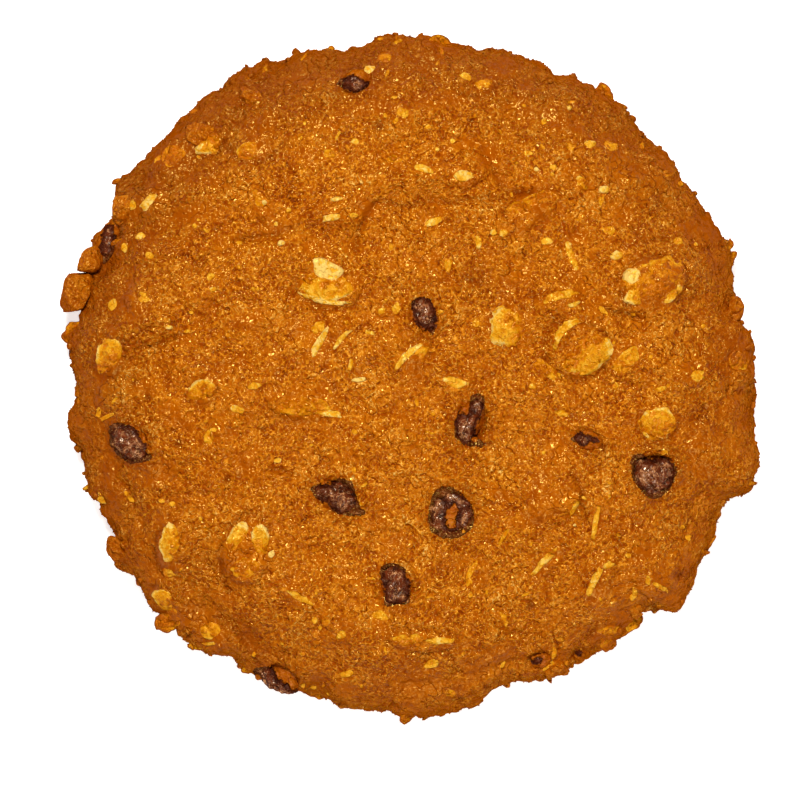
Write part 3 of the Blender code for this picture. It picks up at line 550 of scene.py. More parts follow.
def near_oval(placing, length, width, reach, thickness):
    """Which points of the crust are near a seated oval, and the share of its half size that each lies out."""
    inverse = np.array(placing.inverted())
    own = points @ inverse[:3, :3].T + inverse[:3, 3]
    rho = np.hypot(2 * own[:, 0] / length, 2 * own[:, 1] / width)
    here = (np.abs(own[:, 2]) < thickness) & (rho < reach)
    return here, rho[here]


mound, pit, lip, skin, hole = np.zeros((5, len(points)))
for placing, length, width in flake_seats + side_flakes:
    here, rho = near_oval(placing, length, width, reach=1.6, thickness=3 * MM)
    shape = rho + MOUND_WANDER * noise_at(points[here], wavelength=1.6, seed=9.0)
    mound[here] = np.maximum(mound[here], smoothstep((MOUND_TOP + MOUND_EDGE - shape) / MOUND_EDGE))

for name, placing in raisin_seats.items():
    _, _, length, width, *_ = RAISINS[name]
    here, rho = near_oval(placing, length * MM, width * MM, reach=2.2, thickness=4 * MM)
    broad, fine = PIT_WANDER
    shape = rho + broad * noise_at(points[here], 2.2, seed=21.0) + fine * noise_at(points[here], 0.9, seed=5.0)
    opened = FILLED_PITS.get(name, 1)
    pit[here] = np.maximum(pit[here], opened * (1 - smoothstep((shape - PIT_FLOOR) / PIT_WALL)))
    lip[here] = np.maximum(lip[here], opened * np.exp(-(((shape - LIP_PLACE) / LIP_WIDTH) ** 2)))
    away = outside_outline(points[here], RAISIN_OUTLINES[name])
    near_raisin = smoothstep((SKIN_LIMIT - rho) / SKIN_LIMIT_FADE)
    skin[here] = np.maximum(skin[here], near_raisin * smoothstep((SKIN_REACH - away) / SKIN_FADE))

on_top = points[:, 2] > WIDEST_HEIGHT
for x, y, size in DARK_HOLES:
    share = np.hypot(points[:, 0] - x * MM, points[:, 1] - y * MM) / (size * MM)
    hole = np.maximum(hole, np.exp(-((share * HOLE_FALL) ** 2)) * on_top)
points = points + outward * (MOUND_HEIGHT * mound * (1 - pit) + PIT_LIP * lip - PIT_DEPTH * pit
                             - HOLE_DEPTH * hole)[:, None]
set_points(dough_bm, points)

# How the crust varies over the dough, one number from 0 to 1 a point: film is the smooth syrupy skin, the
# darkening is painted shade in the pits and on the lips round raisins, in creases, cracks, grooves and holes,
# partly browning and partly painted shade at the rim, and a real stain over the buried raisin; skin is where a
# raisin shows through the thin crust over it. Each is a sum of what brings it about, and the number before
# each of these is its weight.
radius_share = np.hypot(points[:, 0] - ROUND_MIDDLE[0], points[:, 1] - ROUND_MIDDLE[1]) / MEAN_RADIUS
rim_band = smoothstep((radius_share - FILM_BAND[0]) / FILM_BAND[1])
ragged = 0.55 * noise_at(points, 2.6, seed=8.0) + 0.30 * noise_at(points, 1.1, seed=6.0)
film = 0.18 + 0.42 * noise_at(points, 6.0, seed=3.0) + 0.15 * rim_band + 0.35 * mound
for x, y, length, width, turn in FILM_POOLS:
    along, across = along_and_across(points[:, 0], points[:, 1], x, y, turn)
    share = np.hypot(2 * along / (length * MM), 2 * across / (width * MM))
    film = np.maximum(film, 1.0 - POOL_FALL * share)
film = smoothstep(film + ragged)
wander = noise_at(points, 2.5, seed=4.0)
creases = valley_depth(points, CREASES) / MM
cracks = valley_depth(points, CRACKS, CRACK_WANDER * wander) / MM
grooves = valley_depth(points, GROOVES, GROOVE_WANDER_SHARE * CRACK_WANDER * wander) / MM
# The rim darkens: partly browning and partly painted shade, with the painted shade stronger toward the far
# side.
browned_and_shaded_rim = smoothstep((radius_share - BROWNED_AND_SHADED_BAND[0]) / BROWNED_AND_SHADED_BAND[1])
toward_shaded_side = (SHADED_SIDE[1] * points[:, 1] + SHADED_SIDE[0] * points[:, 0]) / (50 * MM)
browned_and_shaded_rim *= 0.62 + 0.50 * toward_shaded_side
# Painted shade in creases, cracks, grooves and holes, and in the pits and on the lips round raisins; the holes
# are partly dark raisin flecks too.
stain = 0.04 * creases + 1.0 * cracks + 1.3 * grooves + 0.35 * pit + 0.35 * lip + 0.62 * browned_and_shaded_rim
stain = np.clip(stain + 1.2 * hole, 0, 1)
buried_x, buried_y, buried_reach = np.array(BURIED_RAISIN) * MM
buried = np.hypot(points[:, 0] - buried_x, (points[:, 1] - buried_y) * BURIED_NARROWNESS)
on_top = points[:, 2] > WIDEST_HEIGHT
stain = np.clip(stain + BURIED_STAIN * np.exp(-((buried / buried_reach) ** 2)) * on_top, 0, 1)

foot = [edge for edge in dough_bm.edges if edge.is_boundary]
for vertex in {vertex for edge in foot for vertex in edge.verts}:
    vertex.co.z = 0
previous = 1.0
for share in UNDERSIDE_RINGS:
    grown = bmesh.ops.extrude_edge_only(dough_bm, edges=foot)["geom"]
    ring = [part for part in grown if isinstance(part, bmesh.types.BMVert)]
    foot = [part for part in grown if isinstance(part, bmesh.types.BMEdge)]
    for vertex in ring:
        vertex.co.x *= share / previous
        vertex.co.y *= share / previous
    previous = share
bmesh.ops.pointmerge(dough_bm, verts=ring, merge_co=(0, 0, 0))
bmesh.ops.recalc_face_normals(dough_bm, faces=dough_bm.faces)

dough_mesh = bpy.data.meshes.new("baked_dough")
dough_bm.to_mesh(dough_mesh)
dough_bm.free()
dough_mesh.shade_smooth()
for label, values in (("film", film), ("stain", stain), ("skin", skin)):
    whole = np.zeros(len(dough_mesh.vertices))
    whole[:len(values)] = values
    dough_mesh.attributes.new(label, "FLOAT", "POINT").data.foreach_set("value", whole)
dough = add_object("baked_dough", dough_mesh)


class Wire:
    """One value in a node tree. Sums and products of wires add the Math nodes that work them out."""

    def __init__(self, tree, socket):
        self.tree = tree
        self.socket = socket

    @classmethod
    def node(cls, tree, kind, settings=None, values=None, output=0):
        """Adds a node: its type, its settings, and the values or wires of its sockets."""
        node = tree.nodes.new(kind)
        for key, value in (settings or {}).items():
            if key == "stops":
                ramp = node.color_ramp
                while len(ramp.elements) < len(value):
                    ramp.elements.new(0.5)
                for element, (position, colour) in zip(ramp.elements, value):
                    element.position = position
                    element.color = colour
            else:
                setattr(node, key, value)
        for key, value in (values or {}).items():
            if isinstance(value, Wire):
                tree.links.new(value.socket, node.inputs[key])
            else:
                node.inputs[key].default_value = value
        return cls(tree, node.outputs[output])

    def math(self, operation, *after, before=()):
        values = dict(enumerate((*before, self, *after)))
        return Wire.node(self.tree, "ShaderNodeMath", {"operation": operation}, values)

    def __add__(self, other):
        return self.math("ADD", other)

    __radd__ = __add__

    def __sub__(self, other):
        return self.math("SUBTRACT", other)

    def __rsub__(self, other):
        return self.math("SUBTRACT", before=(other,))

    def __mul__(self, other):
        return self.math("MULTIPLY", other)

    __rmul__ = __mul__

    def __rtruediv__(self, other):
        return self.math("DIVIDE", before=(other,))

    def clamped(self):
        return Wire.node(self.tree, "ShaderNodeClamp", None, {"Value": self})

    def between(self, low, high):
        """0 below low, 1 above high, and smooth between them."""
        return Wire.node(self.tree, "ShaderNodeMapRange", {"interpolation_type": "SMOOTHSTEP"},
                         {"Value": self, "From Min": low, "From Max": high})

    def near_half(self, width):
        """1 where the value is a half, falling to 0 this far from it: thin lines where it is noise."""
        return 1 - (self - 0.5).math("ABSOLUTE").between(0.0, width)

    def vector_math(self, operation, other):
        """The same sum for the three numbers of a place or a direction."""
        other_socket = "Scale" if operation == "SCALE" else 1
        return Wire.node(self.tree, "ShaderNodeVectorMath", {"operation": operation},
                         {0: self, other_socket: other})

    def height(self):
        """The third number of a place or a direction."""
        return Wire.node(self.tree, "ShaderNodeSeparateXYZ", None, {"Vector": self}, output=2)


def srgb(red, green, blue):
    """A colour as the eye names it, from 0 to 255, as the light that a shader works in."""
    shares = (value / 255 for value in (red, green, blue))
    return (*(s / 12.92 if s <= 0.04045 else ((s + 0.055) / 1.055) ** 2.4 for s in shares), 1.0)


def mix_colours(factor, under, over):
    values = {0: factor, 6: under, 7: over}
    return Wire.node(factor.tree, "ShaderNodeMix", {"data_type": "RGBA"}, values, output=2)


def ramp_colour(share, stops):
    return Wire.node(share.tree, "ShaderNodeValToRGB", {"stops": stops}, {"Fac": share.clamped()})


def new_material(name, preview):
    """A new material, its tree and shader, and the place on the piece (mm)."""
    material = bpy.data.materials.new(name)
    material.use_nodes = True
    material.diffuse_color = preview
    tree = material.node_tree
    place = Wire.node(tree, "ShaderNodeTexCoord", output=3).vector_math("SCALE", 1000.0)
    return material, tree, tree.nodes["Principled BSDF"], place


def attribute(tree, name):
    return Wire.node(tree, "ShaderNodeAttribute", {"attribute_name": name}, output=2)


def noise_wire(place, wavelength, detail=1.0, roughness=0.5):
    """Noise from 0 to 1 whose lumps are about one wavelength (mm) apart."""
    return Wire.node(place.tree, "ShaderNodeTexNoise", None,
                     {"Vector": place, "Scale": 1 / wavelength, "Detail": detail, "Roughness": roughness})


def grain_wire(place, size):
    """Rounded grains about one size (mm) apart: 1 on top of each and 0 in the gaps."""
    away = Wire.node(place.tree, "ShaderNodeTexVoronoi", {"feature": "SMOOTH_F1"},
                     {"Vector": place, "Scale": 1 / size, "Smoothness": 0.6})
    return (1 - away * 1.35).clamped()


def push_wire(place, scale, detail, amount):
    """A push that smooth noise gives in every direction, by up to half the amount."""
    values = {"Vector": place, "Scale": scale, "Detail": detail}
    push = Wire.node(place.tree, "ShaderNodeTexNoise", None, values, output=1)
    return push.vector_math("SUBTRACT", (0.5, 0.5, 0.5)).vector_math("SCALE", amount)


def shifted(place, wavelength, amount):
    """The place moved by smooth noise (mm), so that what is drawn there curls."""
    return place.vector_math("ADD", push_wire(place, 1 / wavelength, 0.0, amount))


# From the darkest to the palest crust: where the grain is dry, and where the film of syrup covers it.
GRAIN_STOPS = (
    (0.0, srgb(96, 26, 0)),
    (0.24, srgb(150, 62, 0)),
    (0.50, srgb(192, 104, 6)),
    (0.74, srgb(216, 136, 26)),
    (1.0, srgb(246, 194, 104)),
)
FILM_STOPS = (
    (0.0, srgb(100, 32, 0)),
    (0.26, srgb(144, 60, 0)),
    (0.50, srgb(170, 82, 0)),
    (0.74, srgb(192, 104, 2)),
    (1.0, srgb(224, 148, 24)),
)
# The colour that the crust darkens to: mostly painted shade, partly real stain.
STAIN_AND_SHADE_COLOUR = srgb(116, 42, 0)
RAISIN_DARK = srgb(44, 10, 5)
RAISIN_BROWN = srgb(120, 50, 18)
RAISIN_FLECK_AND_GLINT = srgb(212, 148, 96)
RIM_COLOUR = srgb(150, 72, 0)
UNDERSIDE_COLOUR = srgb(150, 82, 20)
SIDE_HEIGHTS = (5.0, 12.5)  # mm: all side below the first, all top above the second
FOOT_HEIGHTS = (0.05, 2.2)  # mm: the brown of the underside is whole below the first, gone above the second
CRUST_GLOSS = 0.62
CRUST_SHINE_COLOUR = (1.0, 0.72, 0.16, 1.0)
SIDE_DRYNESS = 0.35


def crust_finish(tree, place):
    """The finish wherever dough shows: its colour, roughness and finest relief (mm), and how far down the
    side a place is. Each pattern is noise from 0 to 1, and what it is multiplied by is its weight."""
    film, stain, grain = (attribute(tree, name) for name in ("film", "stain", "grain"))
    patches = noise_wire(place, 8.0, 2.0)
    blots = noise_wire(place, 3.4, 3.0, 0.55)
    mottle = noise_wire(place, 1.6, 3.0, 0.55)
    fine = noise_wire(place, 0.70)
    small = grain_wire(place, 0.60)
    strand = noise_wire(shifted(place, 0.50, 0.35), 0.60, 0.0).near_half(0.12)
    torn = noise_wire(shifted(place, 1.0, 0.9), 2.2).near_half(0.030)
    crevice = torn * (patches - 0.5 + blots).between(0.46, 0.64)
    dry_share = 1 - film * 0.85
    tone = 0.49 + (patches - 0.5) * 0.42 + (blots - 0.5) * 0.60 + (mottle - 0.5) * 0.20
    # Painted shade and light: the gaps between grains darker and their tops paler, the thin strands painted
    # highlight strokes, and the crevices darker as painted shade.
    tone = tone + ((fine - 0.5) * 0.40 + (small - 0.42) * 0.24 + (strand - 0.3) * 0.40) * dry_share
    tone = tone + (grain - 0.5) * 0.12 - crevice * 0.26
    dry, syrupy = ramp_colour(tone, GRAIN_STOPS), ramp_colour(tone, FILM_STOPS)
    colour = mix_colours((film + (blots - 0.5) * 0.5).clamped(), dry, syrupy)
    # Darkening toward the stain colour: mostly painted shade, partly real stain.
    colour = mix_colours((stain + (mottle - 0.5) * stain).clamped() * 0.85, colour, STAIN_AND_SHADE_COLOUR)
    height = place.height()
    on_side = 1 - height.between(*SIDE_HEIGHTS)
    colour = mix_colours((1 - height.between(*FOOT_HEIGHTS)) * 0.8, colour, UNDERSIDE_COLOUR)
    # The side is darker: partly browning, partly painted shade.
    colour = mix_colours(on_side * 0.45, colour, RIM_COLOUR)
    rough = 0.165 + (mottle - 0.5) * 0.14 - (blots - 0.5) * 0.16 + on_side * 0.30
    lumps = noise_wire(place, 1.1)
    relief = (small * 0.20 + strand * 0.12) * dry_share + fine * 0.28 * (1 - film * 0.60)
    relief = relief + mottle * 0.20 + lumps * (0.32 + on_side * 0.20) + blots * 0.65 - crevice * 0.12
    return colour, rough, relief, on_side


def raisin_finish(place, ridge, inner):
    """A raisin's colour and finest relief (mm): painted shade in its folds and near its edge, its ridges
    painted lighter, and flecks within that are partly dried sugar and partly painted highlight.
    """
    mottle = noise_wire(place, 0.9)
    strand = noise_wire(shifted(place, 0.45, 0.45), 0.50, 0.0).near_half(0.11)
    clusters = noise_wire(place, 1.7)
    # Painted shade in the folds and painted light on the ridges.
    colour = mix_colours((ridge * 0.6 + (mottle - 0.5) * 1.6 + 0.15).clamped(), RAISIN_DARK, RAISIN_BROWN)
    # The flecks are partly dried sugar and partly painted highlight, lighter on the ridges.
    fleck_and_glint = (strand - 0.34) * 1.0 + (mottle - 0.5) * 1.5 + (clusters - 0.5) * 2.2 + (ridge - 0.5) * 0.5
    fleck_and_glint = fleck_and_glint * inner
    colour = mix_colours(fleck_and_glint.clamped() * 0.85, colour, RAISIN_FLECK_AND_GLINT)
    # Painted shade: darker toward the edge, where the raisin meets its pit.
    colour = mix_colours((1 - inner) * 0.60, colour, RAISIN_DARK)
    return colour, strand * 0.14 + mottle * 0.24


def set_finish(shader, colour, rough, relief, dryness, gloss, shine_colour):
    """Ends a material. The dry share of it is matt. So is most of it where it is seen from nearly along its
    surface, as a rough surface is, and there the diffuse shader takes over."""
    tree = colour.tree
    normal = Wire.node(tree, "ShaderNodeBump", None, {"Strength": 1.0, "Distance": MM, "Height": relief})
    for name, wire in (("Base Color", colour), ("Roughness", rough), ("Normal", normal)):
        tree.links.new(wire.socket, shader.inputs[name])
    shader.inputs["Specular IOR Level"].default_value = gloss
    shader.inputs["Specular Tint"].default_value = shine_colour
    slant = Wire.node(tree, "ShaderNodeLayerWeight", None, {"Blend": 0.5, "Normal": normal}, output=1)
    matt_share = (dryness + slant.between(0.12, 0.60) * 0.82).clamped()
    matt = Wire.node(tree, "ShaderNodeBsdfDiffuse", None, {"Color": colour, "Normal": normal})
    both = Wire.node(tree, "ShaderNodeMixShader", None,
                     {0: matt_share, 1: Wire(tree, shader.outputs[0]), 2: matt})
    tree.links.new(both.socket, tree.nodes["Material Output"].inputs["Surface"])


crust_material, tree, shader, place = new_material("baked_crust", GRAIN_STOPS[2][1])
colour, rough, relief, on_side = crust_finish(tree, place)
skin_share = attribute(tree, "skin") + (noise_wire(place, 0.8) - 0.5) * 0.9
skin_colour, _ = raisin_finish(place, attribute(tree, "grain"), skin_share.between(0.7, 1.2))
colour = mix_colours(skin_share.between(0.35, 0.65) * 0.9, colour, skin_colour)
set_finish(shader, colour, rough, relief, on_side * SIDE_DRYNESS, CRUST_GLOSS, CRUST_SHINE_COLOUR)


def geometry_tree(name, *inputs):
    """An empty Geometry Nodes tree: its wires in, by name, and its output node. The inputs are plain numbers,
    apart from the mesh and its material."""
    tree = bpy.data.node_groups.new(name, "GeometryNodeTree")
    tree.interface.new_socket("Geometry", in_out="OUTPUT", socket_type="NodeSocketGeometry")
    tree.interface.new_socket("Geometry", in_out="INPUT", socket_type="NodeSocketGeometry")
    for label in inputs:
        tree.interface.new_socket(label, in_out="INPUT", socket_type="NodeSocketFloat")
    tree.interface.new_socket("Material", in_out="INPUT", socket_type="NodeSocketMaterial")
    start = tree.nodes.new("NodeGroupInput")
    wires = {socket.name: Wire(tree, socket) for socket in start.outputs if socket.name}
    return tree, wires, tree.nodes.new("NodeGroupOutput")


def end_tree(geometry, material, output):
    """Ends a tree: instances made real, and the material set."""
    tree = geometry.tree
    real = Wire.node(tree, "GeometryNodeRealizeInstances", None, {"Geometry": geometry})
    done = Wire.node(tree, "GeometryNodeSetMaterial", None, {"Geometry": real, "Material": material})
    tree.links.new(done.socket, output.inputs[0])


def stored(geometry, name, value):
    return Wire.node(geometry.tree, "GeometryNodeStoreNamedAttribute", {"domain": "POINT"},
                     {"Geometry": geometry, "Name": name, "Value": value})


def height_share(tree, limits):
    """0 where a place is lower than the first limit (m), 1 where it is higher than the second."""
    return Wire.node(tree, "GeometryNodeInputPosition").height().between(*limits)


def film_wire(tree):
    return Wire.node(tree, "GeometryNodeInputNamedAttribute", {"data_type": "FLOAT"}, {"Name": "film"})


def grown_mesh(tree, values, name):
    """Runs the tree on the dough with these inputs, and gives the plain mesh that it makes."""
    modifier = dough.modifiers.new(name, "NODES")
    modifier.node_group = tree
    values = {**values, "Material": crust_material}
    for item in tree.interface.items_tree:
        if item.in_out == "INPUT" and item.name in values:
            modifier[item.identifier] = values[item.name]
    dough.update_tag()
    graph = bpy.context.evaluated_depsgraph_get()
    mesh = bpy.data.meshes.new_from_object(dough.evaluated_get(graph), depsgraph=graph)
    dough.modifiers.remove(modifier)
    mesh.name = name
    return mesh


GRAIN_INPUTS = {"Grain size": 0.85 * MM, "Grain height": 0.30 * MM}
GRAIN_FOOT = (0.0003, 0.002)  # m above the tray: no grain below the first, and all of it above the second

tree, wire, end = geometry_tree("crust_grain", *GRAIN_INPUTS)
position = Wire.node(tree, "GeometryNodeInputPosition")
grains = Wire.node(tree, "ShaderNodeTexVoronoi", {"feature": "SMOOTH_F1"},
                   {"Vector": position, "Scale": 1 / wire["Grain size"], "Smoothness": 0.5})
meal = Wire.node(tree, "ShaderNodeTexNoise", None, {"Vector": position, "Scale": 1400.0, "Detail": 2.0})
grain = ((1 - grains * 1.3) * 0.6 + meal * 0.4).clamped()
lift = (grain - 0.45) * wire["Grain height"] * (1 - film_wire(tree) * 0.6) * height_share(tree, GRAIN_FOOT)
offset = Wire.node(tree, "GeometryNodeInputNormal").vector_math("SCALE", lift)
moved = Wire.node(tree, "GeometryNodeSetPosition", None, {"Geometry": wire["Geometry"], "Offset": offset})
end_tree(stored(moved, "grain", grain), wire["Material"], end)

dough.data = grown_mesh(tree, GRAIN_INPUTS, "baked_dough")
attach(dough, "root")
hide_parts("dough")

# ---- Rim crumbs ---------------------------------------------------------------------------------
# Blocky lumps of the same dough that stand out of the rim, most of them at the left, where it spread and
# tore. They are baked on, so each is sunk into the side. Small knobs of dough roughen the side all round.

# Angle round the rim (degrees), height, reach of the middle past the side, length, width, thickness (mm),
# turn (degrees).
CRUMBS = (
    (159.8, 7.2, 2.6, 5, 3.6, 4.8, 75), (165.8, 7, 0.9, 7.2, 4.6, 5.2, 68),
    (171.9, 6.8, -1.6, 2.8, 2.4, 3.2, -20), (149.6, 8.6, 0.1, 4.6, 3.6, 3.8, 70),
    (130.8, 9, -0.4, 3.8, 3, 3.2, 20), (119.3, 9, -0.6, 3.6, 2.8, 3.2, -15),
    (314.4, 7.6, -0.5, 3.2, 2.4, 2.8, -45), (296.8, 7.2, -0.5, 4, 3, 4, 20),
    (210.6, 6, 0.1, 4.8, 3.4, 4.4, -60), (11.4, 7.4, 0.1, 4.2, 2.8, 3.4, 80),
)
CRUMB_BREAKS = 9  # facets that the breaks leave, besides the six sides of a block
CRUMB_SIDE_TILT = 0.42
CRUMB_SIDE_REACH = (0.70, 0.95)  # how far out the sides lie, where the half size is 1
CRUMB_BREAK_REACH = (0.74, 1.0)
CRUMB_SHARPNESS = 40  # higher is sharper where two facets meet
CRUMB_UNEVENNESS = (0.50 * MM, 0.60 * MM)
CRUMB_FILM, CRUMB_STAIN = 0.45, 0.10
EVEN_GRAIN = 0.5  # the crust's grain where a piece has none of its own
LARGEST_LUMP = 1.12  # how far out a corner may reach, where the half size is 1
KNOB_INPUTS = {"Spacing": 2.8 * MM, "Smallest": 0.5 * MM, "Largest": 1.2 * MM, "Wobble": 1.3 * MM}
KNOB_FOOT = (0.0016, 0.0030)  # m above the tray: no knobs below the first
KNOB_TOP = (0.35, 0.8)  # upward share of the way the crust faces: no knobs past the second


def unit_sphere(subdivisions):
    """The points and triangles of a ball of radius 1."""
    bm = bmesh.new()
    bmesh.ops.create_icosphere(bm, subdivisions=subdivisions, radius=1)
    points = np.array([vertex.co for vertex in bm.verts])
    faces = np.array([[vertex.index for vertex in face.verts] for face in bm.faces])
    bm.free()
    return points, faces


def rounded_reach(facing, sharpness):
    """How far a shape of flat facets reaches, from how far each facet lets it: their corners are rounded."""
    return np.minimum((facing ** sharpness).sum(axis=1) ** (-1 / sharpness), LARGEST_LUMP)


def broken_lump(directions, seed):
    """How far a broken crumb reaches in each direction: a block whose corners are knocked off."""
    draw = np.random.default_rng(seed)
    sides = np.concatenate([np.eye(3), -np.eye(3)]) + draw.normal(0, CRUMB_SIDE_TILT, (6, 3))
    breaks = draw.normal(size=(CRUMB_BREAKS, 3))
    facets = np.concatenate([sides, breaks])
    facets /= np.linalg.norm(facets, axis=1)[:, None]
    away = [draw.uniform(*CRUMB_SIDE_REACH, 6), draw.uniform(*CRUMB_BREAK_REACH, CRUMB_BREAKS)]
    away = np.concatenate(away)
    return rounded_reach(np.maximum(directions @ facets.T, 0) / away, CRUMB_SHARPNESS)


def placed(placing, points):
    matrix = np.array(placing)
    return points @ matrix[:3, :3].T + matrix[:3, 3]


def add_piece(name, shapes, material, labels):
    """One object of several closed shapes, each with its points, faces and the values of its labels."""
    points, faces, values = [], [], {label: [] for label in labels}
    count = 0
    for shape_points, shape_faces, *shape_values in shapes:
        points.extend(map(tuple, shape_points))
        faces.extend(tuple(int(index) + count for index in face) for face in shape_faces)
        for label, value in zip(labels, shape_values):
            values[label].append(np.broadcast_to(value, len(shape_points)))
        count += len(shape_points)
    mesh = bpy.data.meshes.new(name)
    mesh.from_pydata(points, [], faces)
    for label in labels:
        joined = np.concatenate(values[label]).astype(np.float32)
        mesh.attributes.new(label, "FLOAT", "POINT").data.foreach_set("value", joined)
    mesh.materials.append(material)
    mesh.shade_smooth()
    return add_object(name, mesh)


def bake_on(obj):
    """A piece that is baked into the dough: it rides with it."""
    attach(obj, "root")


dough_tree = BVHTree.FromObject(dough, bpy.context.evaluated_depsgraph_get())

lump_points, lump_faces = unit_sphere(4)
crumb_shapes = []
for index, (angle, height, reach, length, width, thickness, turn) in enumerate(CRUMBS):
    place, way_out = side_at(coarse_tree, angle, height)
    placing = seat(place + way_out * reach * MM, Vector((0, 0, 1)), turn)
    own = lump_points * broken_lump(lump_points, index)[:, None]
    own = own * np.array((length, width, thickness)) / 2 * MM
    own = placed(placing, own)
    broad, fine = CRUMB_UNEVENNESS
    own += lump_points * (broad * noise_at(own, 1.7, seed=2.0) + fine * noise_at(own, 0.8))[:, None]
    film = CRUMB_FILM + 0.3 * noise_at(own, 2.0)
    crumb_shapes.append((own, lump_faces, film, CRUMB_STAIN, EVEN_GRAIN))
bake_on(add_piece("rim_crumbs", crumb_shapes, crust_material, ("film", "stain", "grain")))


def strewn(tree, wire, piece, where, densest, seed, form=None):
    """The piece on points strewn over the mesh, each turned and sized at random. With a form, which is the
    least and the most of its length, width and height, each also gets proportions of its own."""
    spread = Wire.node(tree, "GeometryNodeDistributePointsOnFaces", {"distribute_method": "POISSON"},
                       {"Mesh": wire["Geometry"], "Distance Min": wire["Spacing"], "Density Max": densest,
                        "Density Factor": where, "Seed": seed})
    turned = Wire.node(tree, "FunctionNodeRandomValue", {"data_type": "FLOAT_VECTOR"},
                       {"Min": (0.0, 0.0, 0.0), "Max": (6.28, 6.28, 6.28), "Seed": 1})
    size = Wire.node(tree, "FunctionNodeRandomValue", {"data_type": "FLOAT"},
                     {2: wire["Smallest"], 3: wire["Largest"], "Seed": 2}, output=1)
    if form is not None:
        narrowest, widest = form
        form = Wire.node(tree, "FunctionNodeRandomValue", {"data_type": "FLOAT_VECTOR"},
                         {"Min": narrowest, "Max": widest, "Seed": 3})
        size = form.vector_math("SCALE", size)
    return Wire.node(tree, "GeometryNodeInstanceOnPoints", None,
                     {"Points": spread, "Instance": piece, "Rotation": turned, "Scale": size})


def strew_on(tree, values, name):
    """Adds what the tree strews over the dough as a piece that is baked on."""
    mesh = grown_mesh(tree, values, name)
    mesh.shade_smooth()
    bake_on(add_object(name, mesh))


tree, wire, end = geometry_tree("side_knobs", *KNOB_INPUTS)
steep = 1 - Wire.node(tree, "GeometryNodeInputNormal").height().between(*KNOB_TOP)
knob = Wire.node(tree, "GeometryNodeMeshIcoSphere", None, {"Radius": 0.5, "Subdivisions": 2})
knobs = strewn(tree, wire, knob, steep * height_share(tree, KNOB_FOOT), densest=300000.0, seed=4)
real = Wire.node(tree, "GeometryNodeRealizeInstances", None, {"Geometry": knobs})
position = Wire.node(tree, "GeometryNodeInputPosition")
wobble = push_wire(position, 900.0, 2.0, wire["Wobble"])
real = Wire.node(tree, "GeometryNodeSetPosition", None, {"Geometry": real, "Offset": wobble})
end_tree(stored(real, "skin", 0.0), wire["Material"], end)
strew_on(tree, KNOB_INPUTS, "side_knobs")

# ---- Oat flakes ---------------------------------------------------------------------------------
# Rolled oats baked into the crust: thin discs, split halves and slivers, cream where they are bare and amber
# where the syrup has soaked them. The dough holds them, and its grain has grown over part of each.

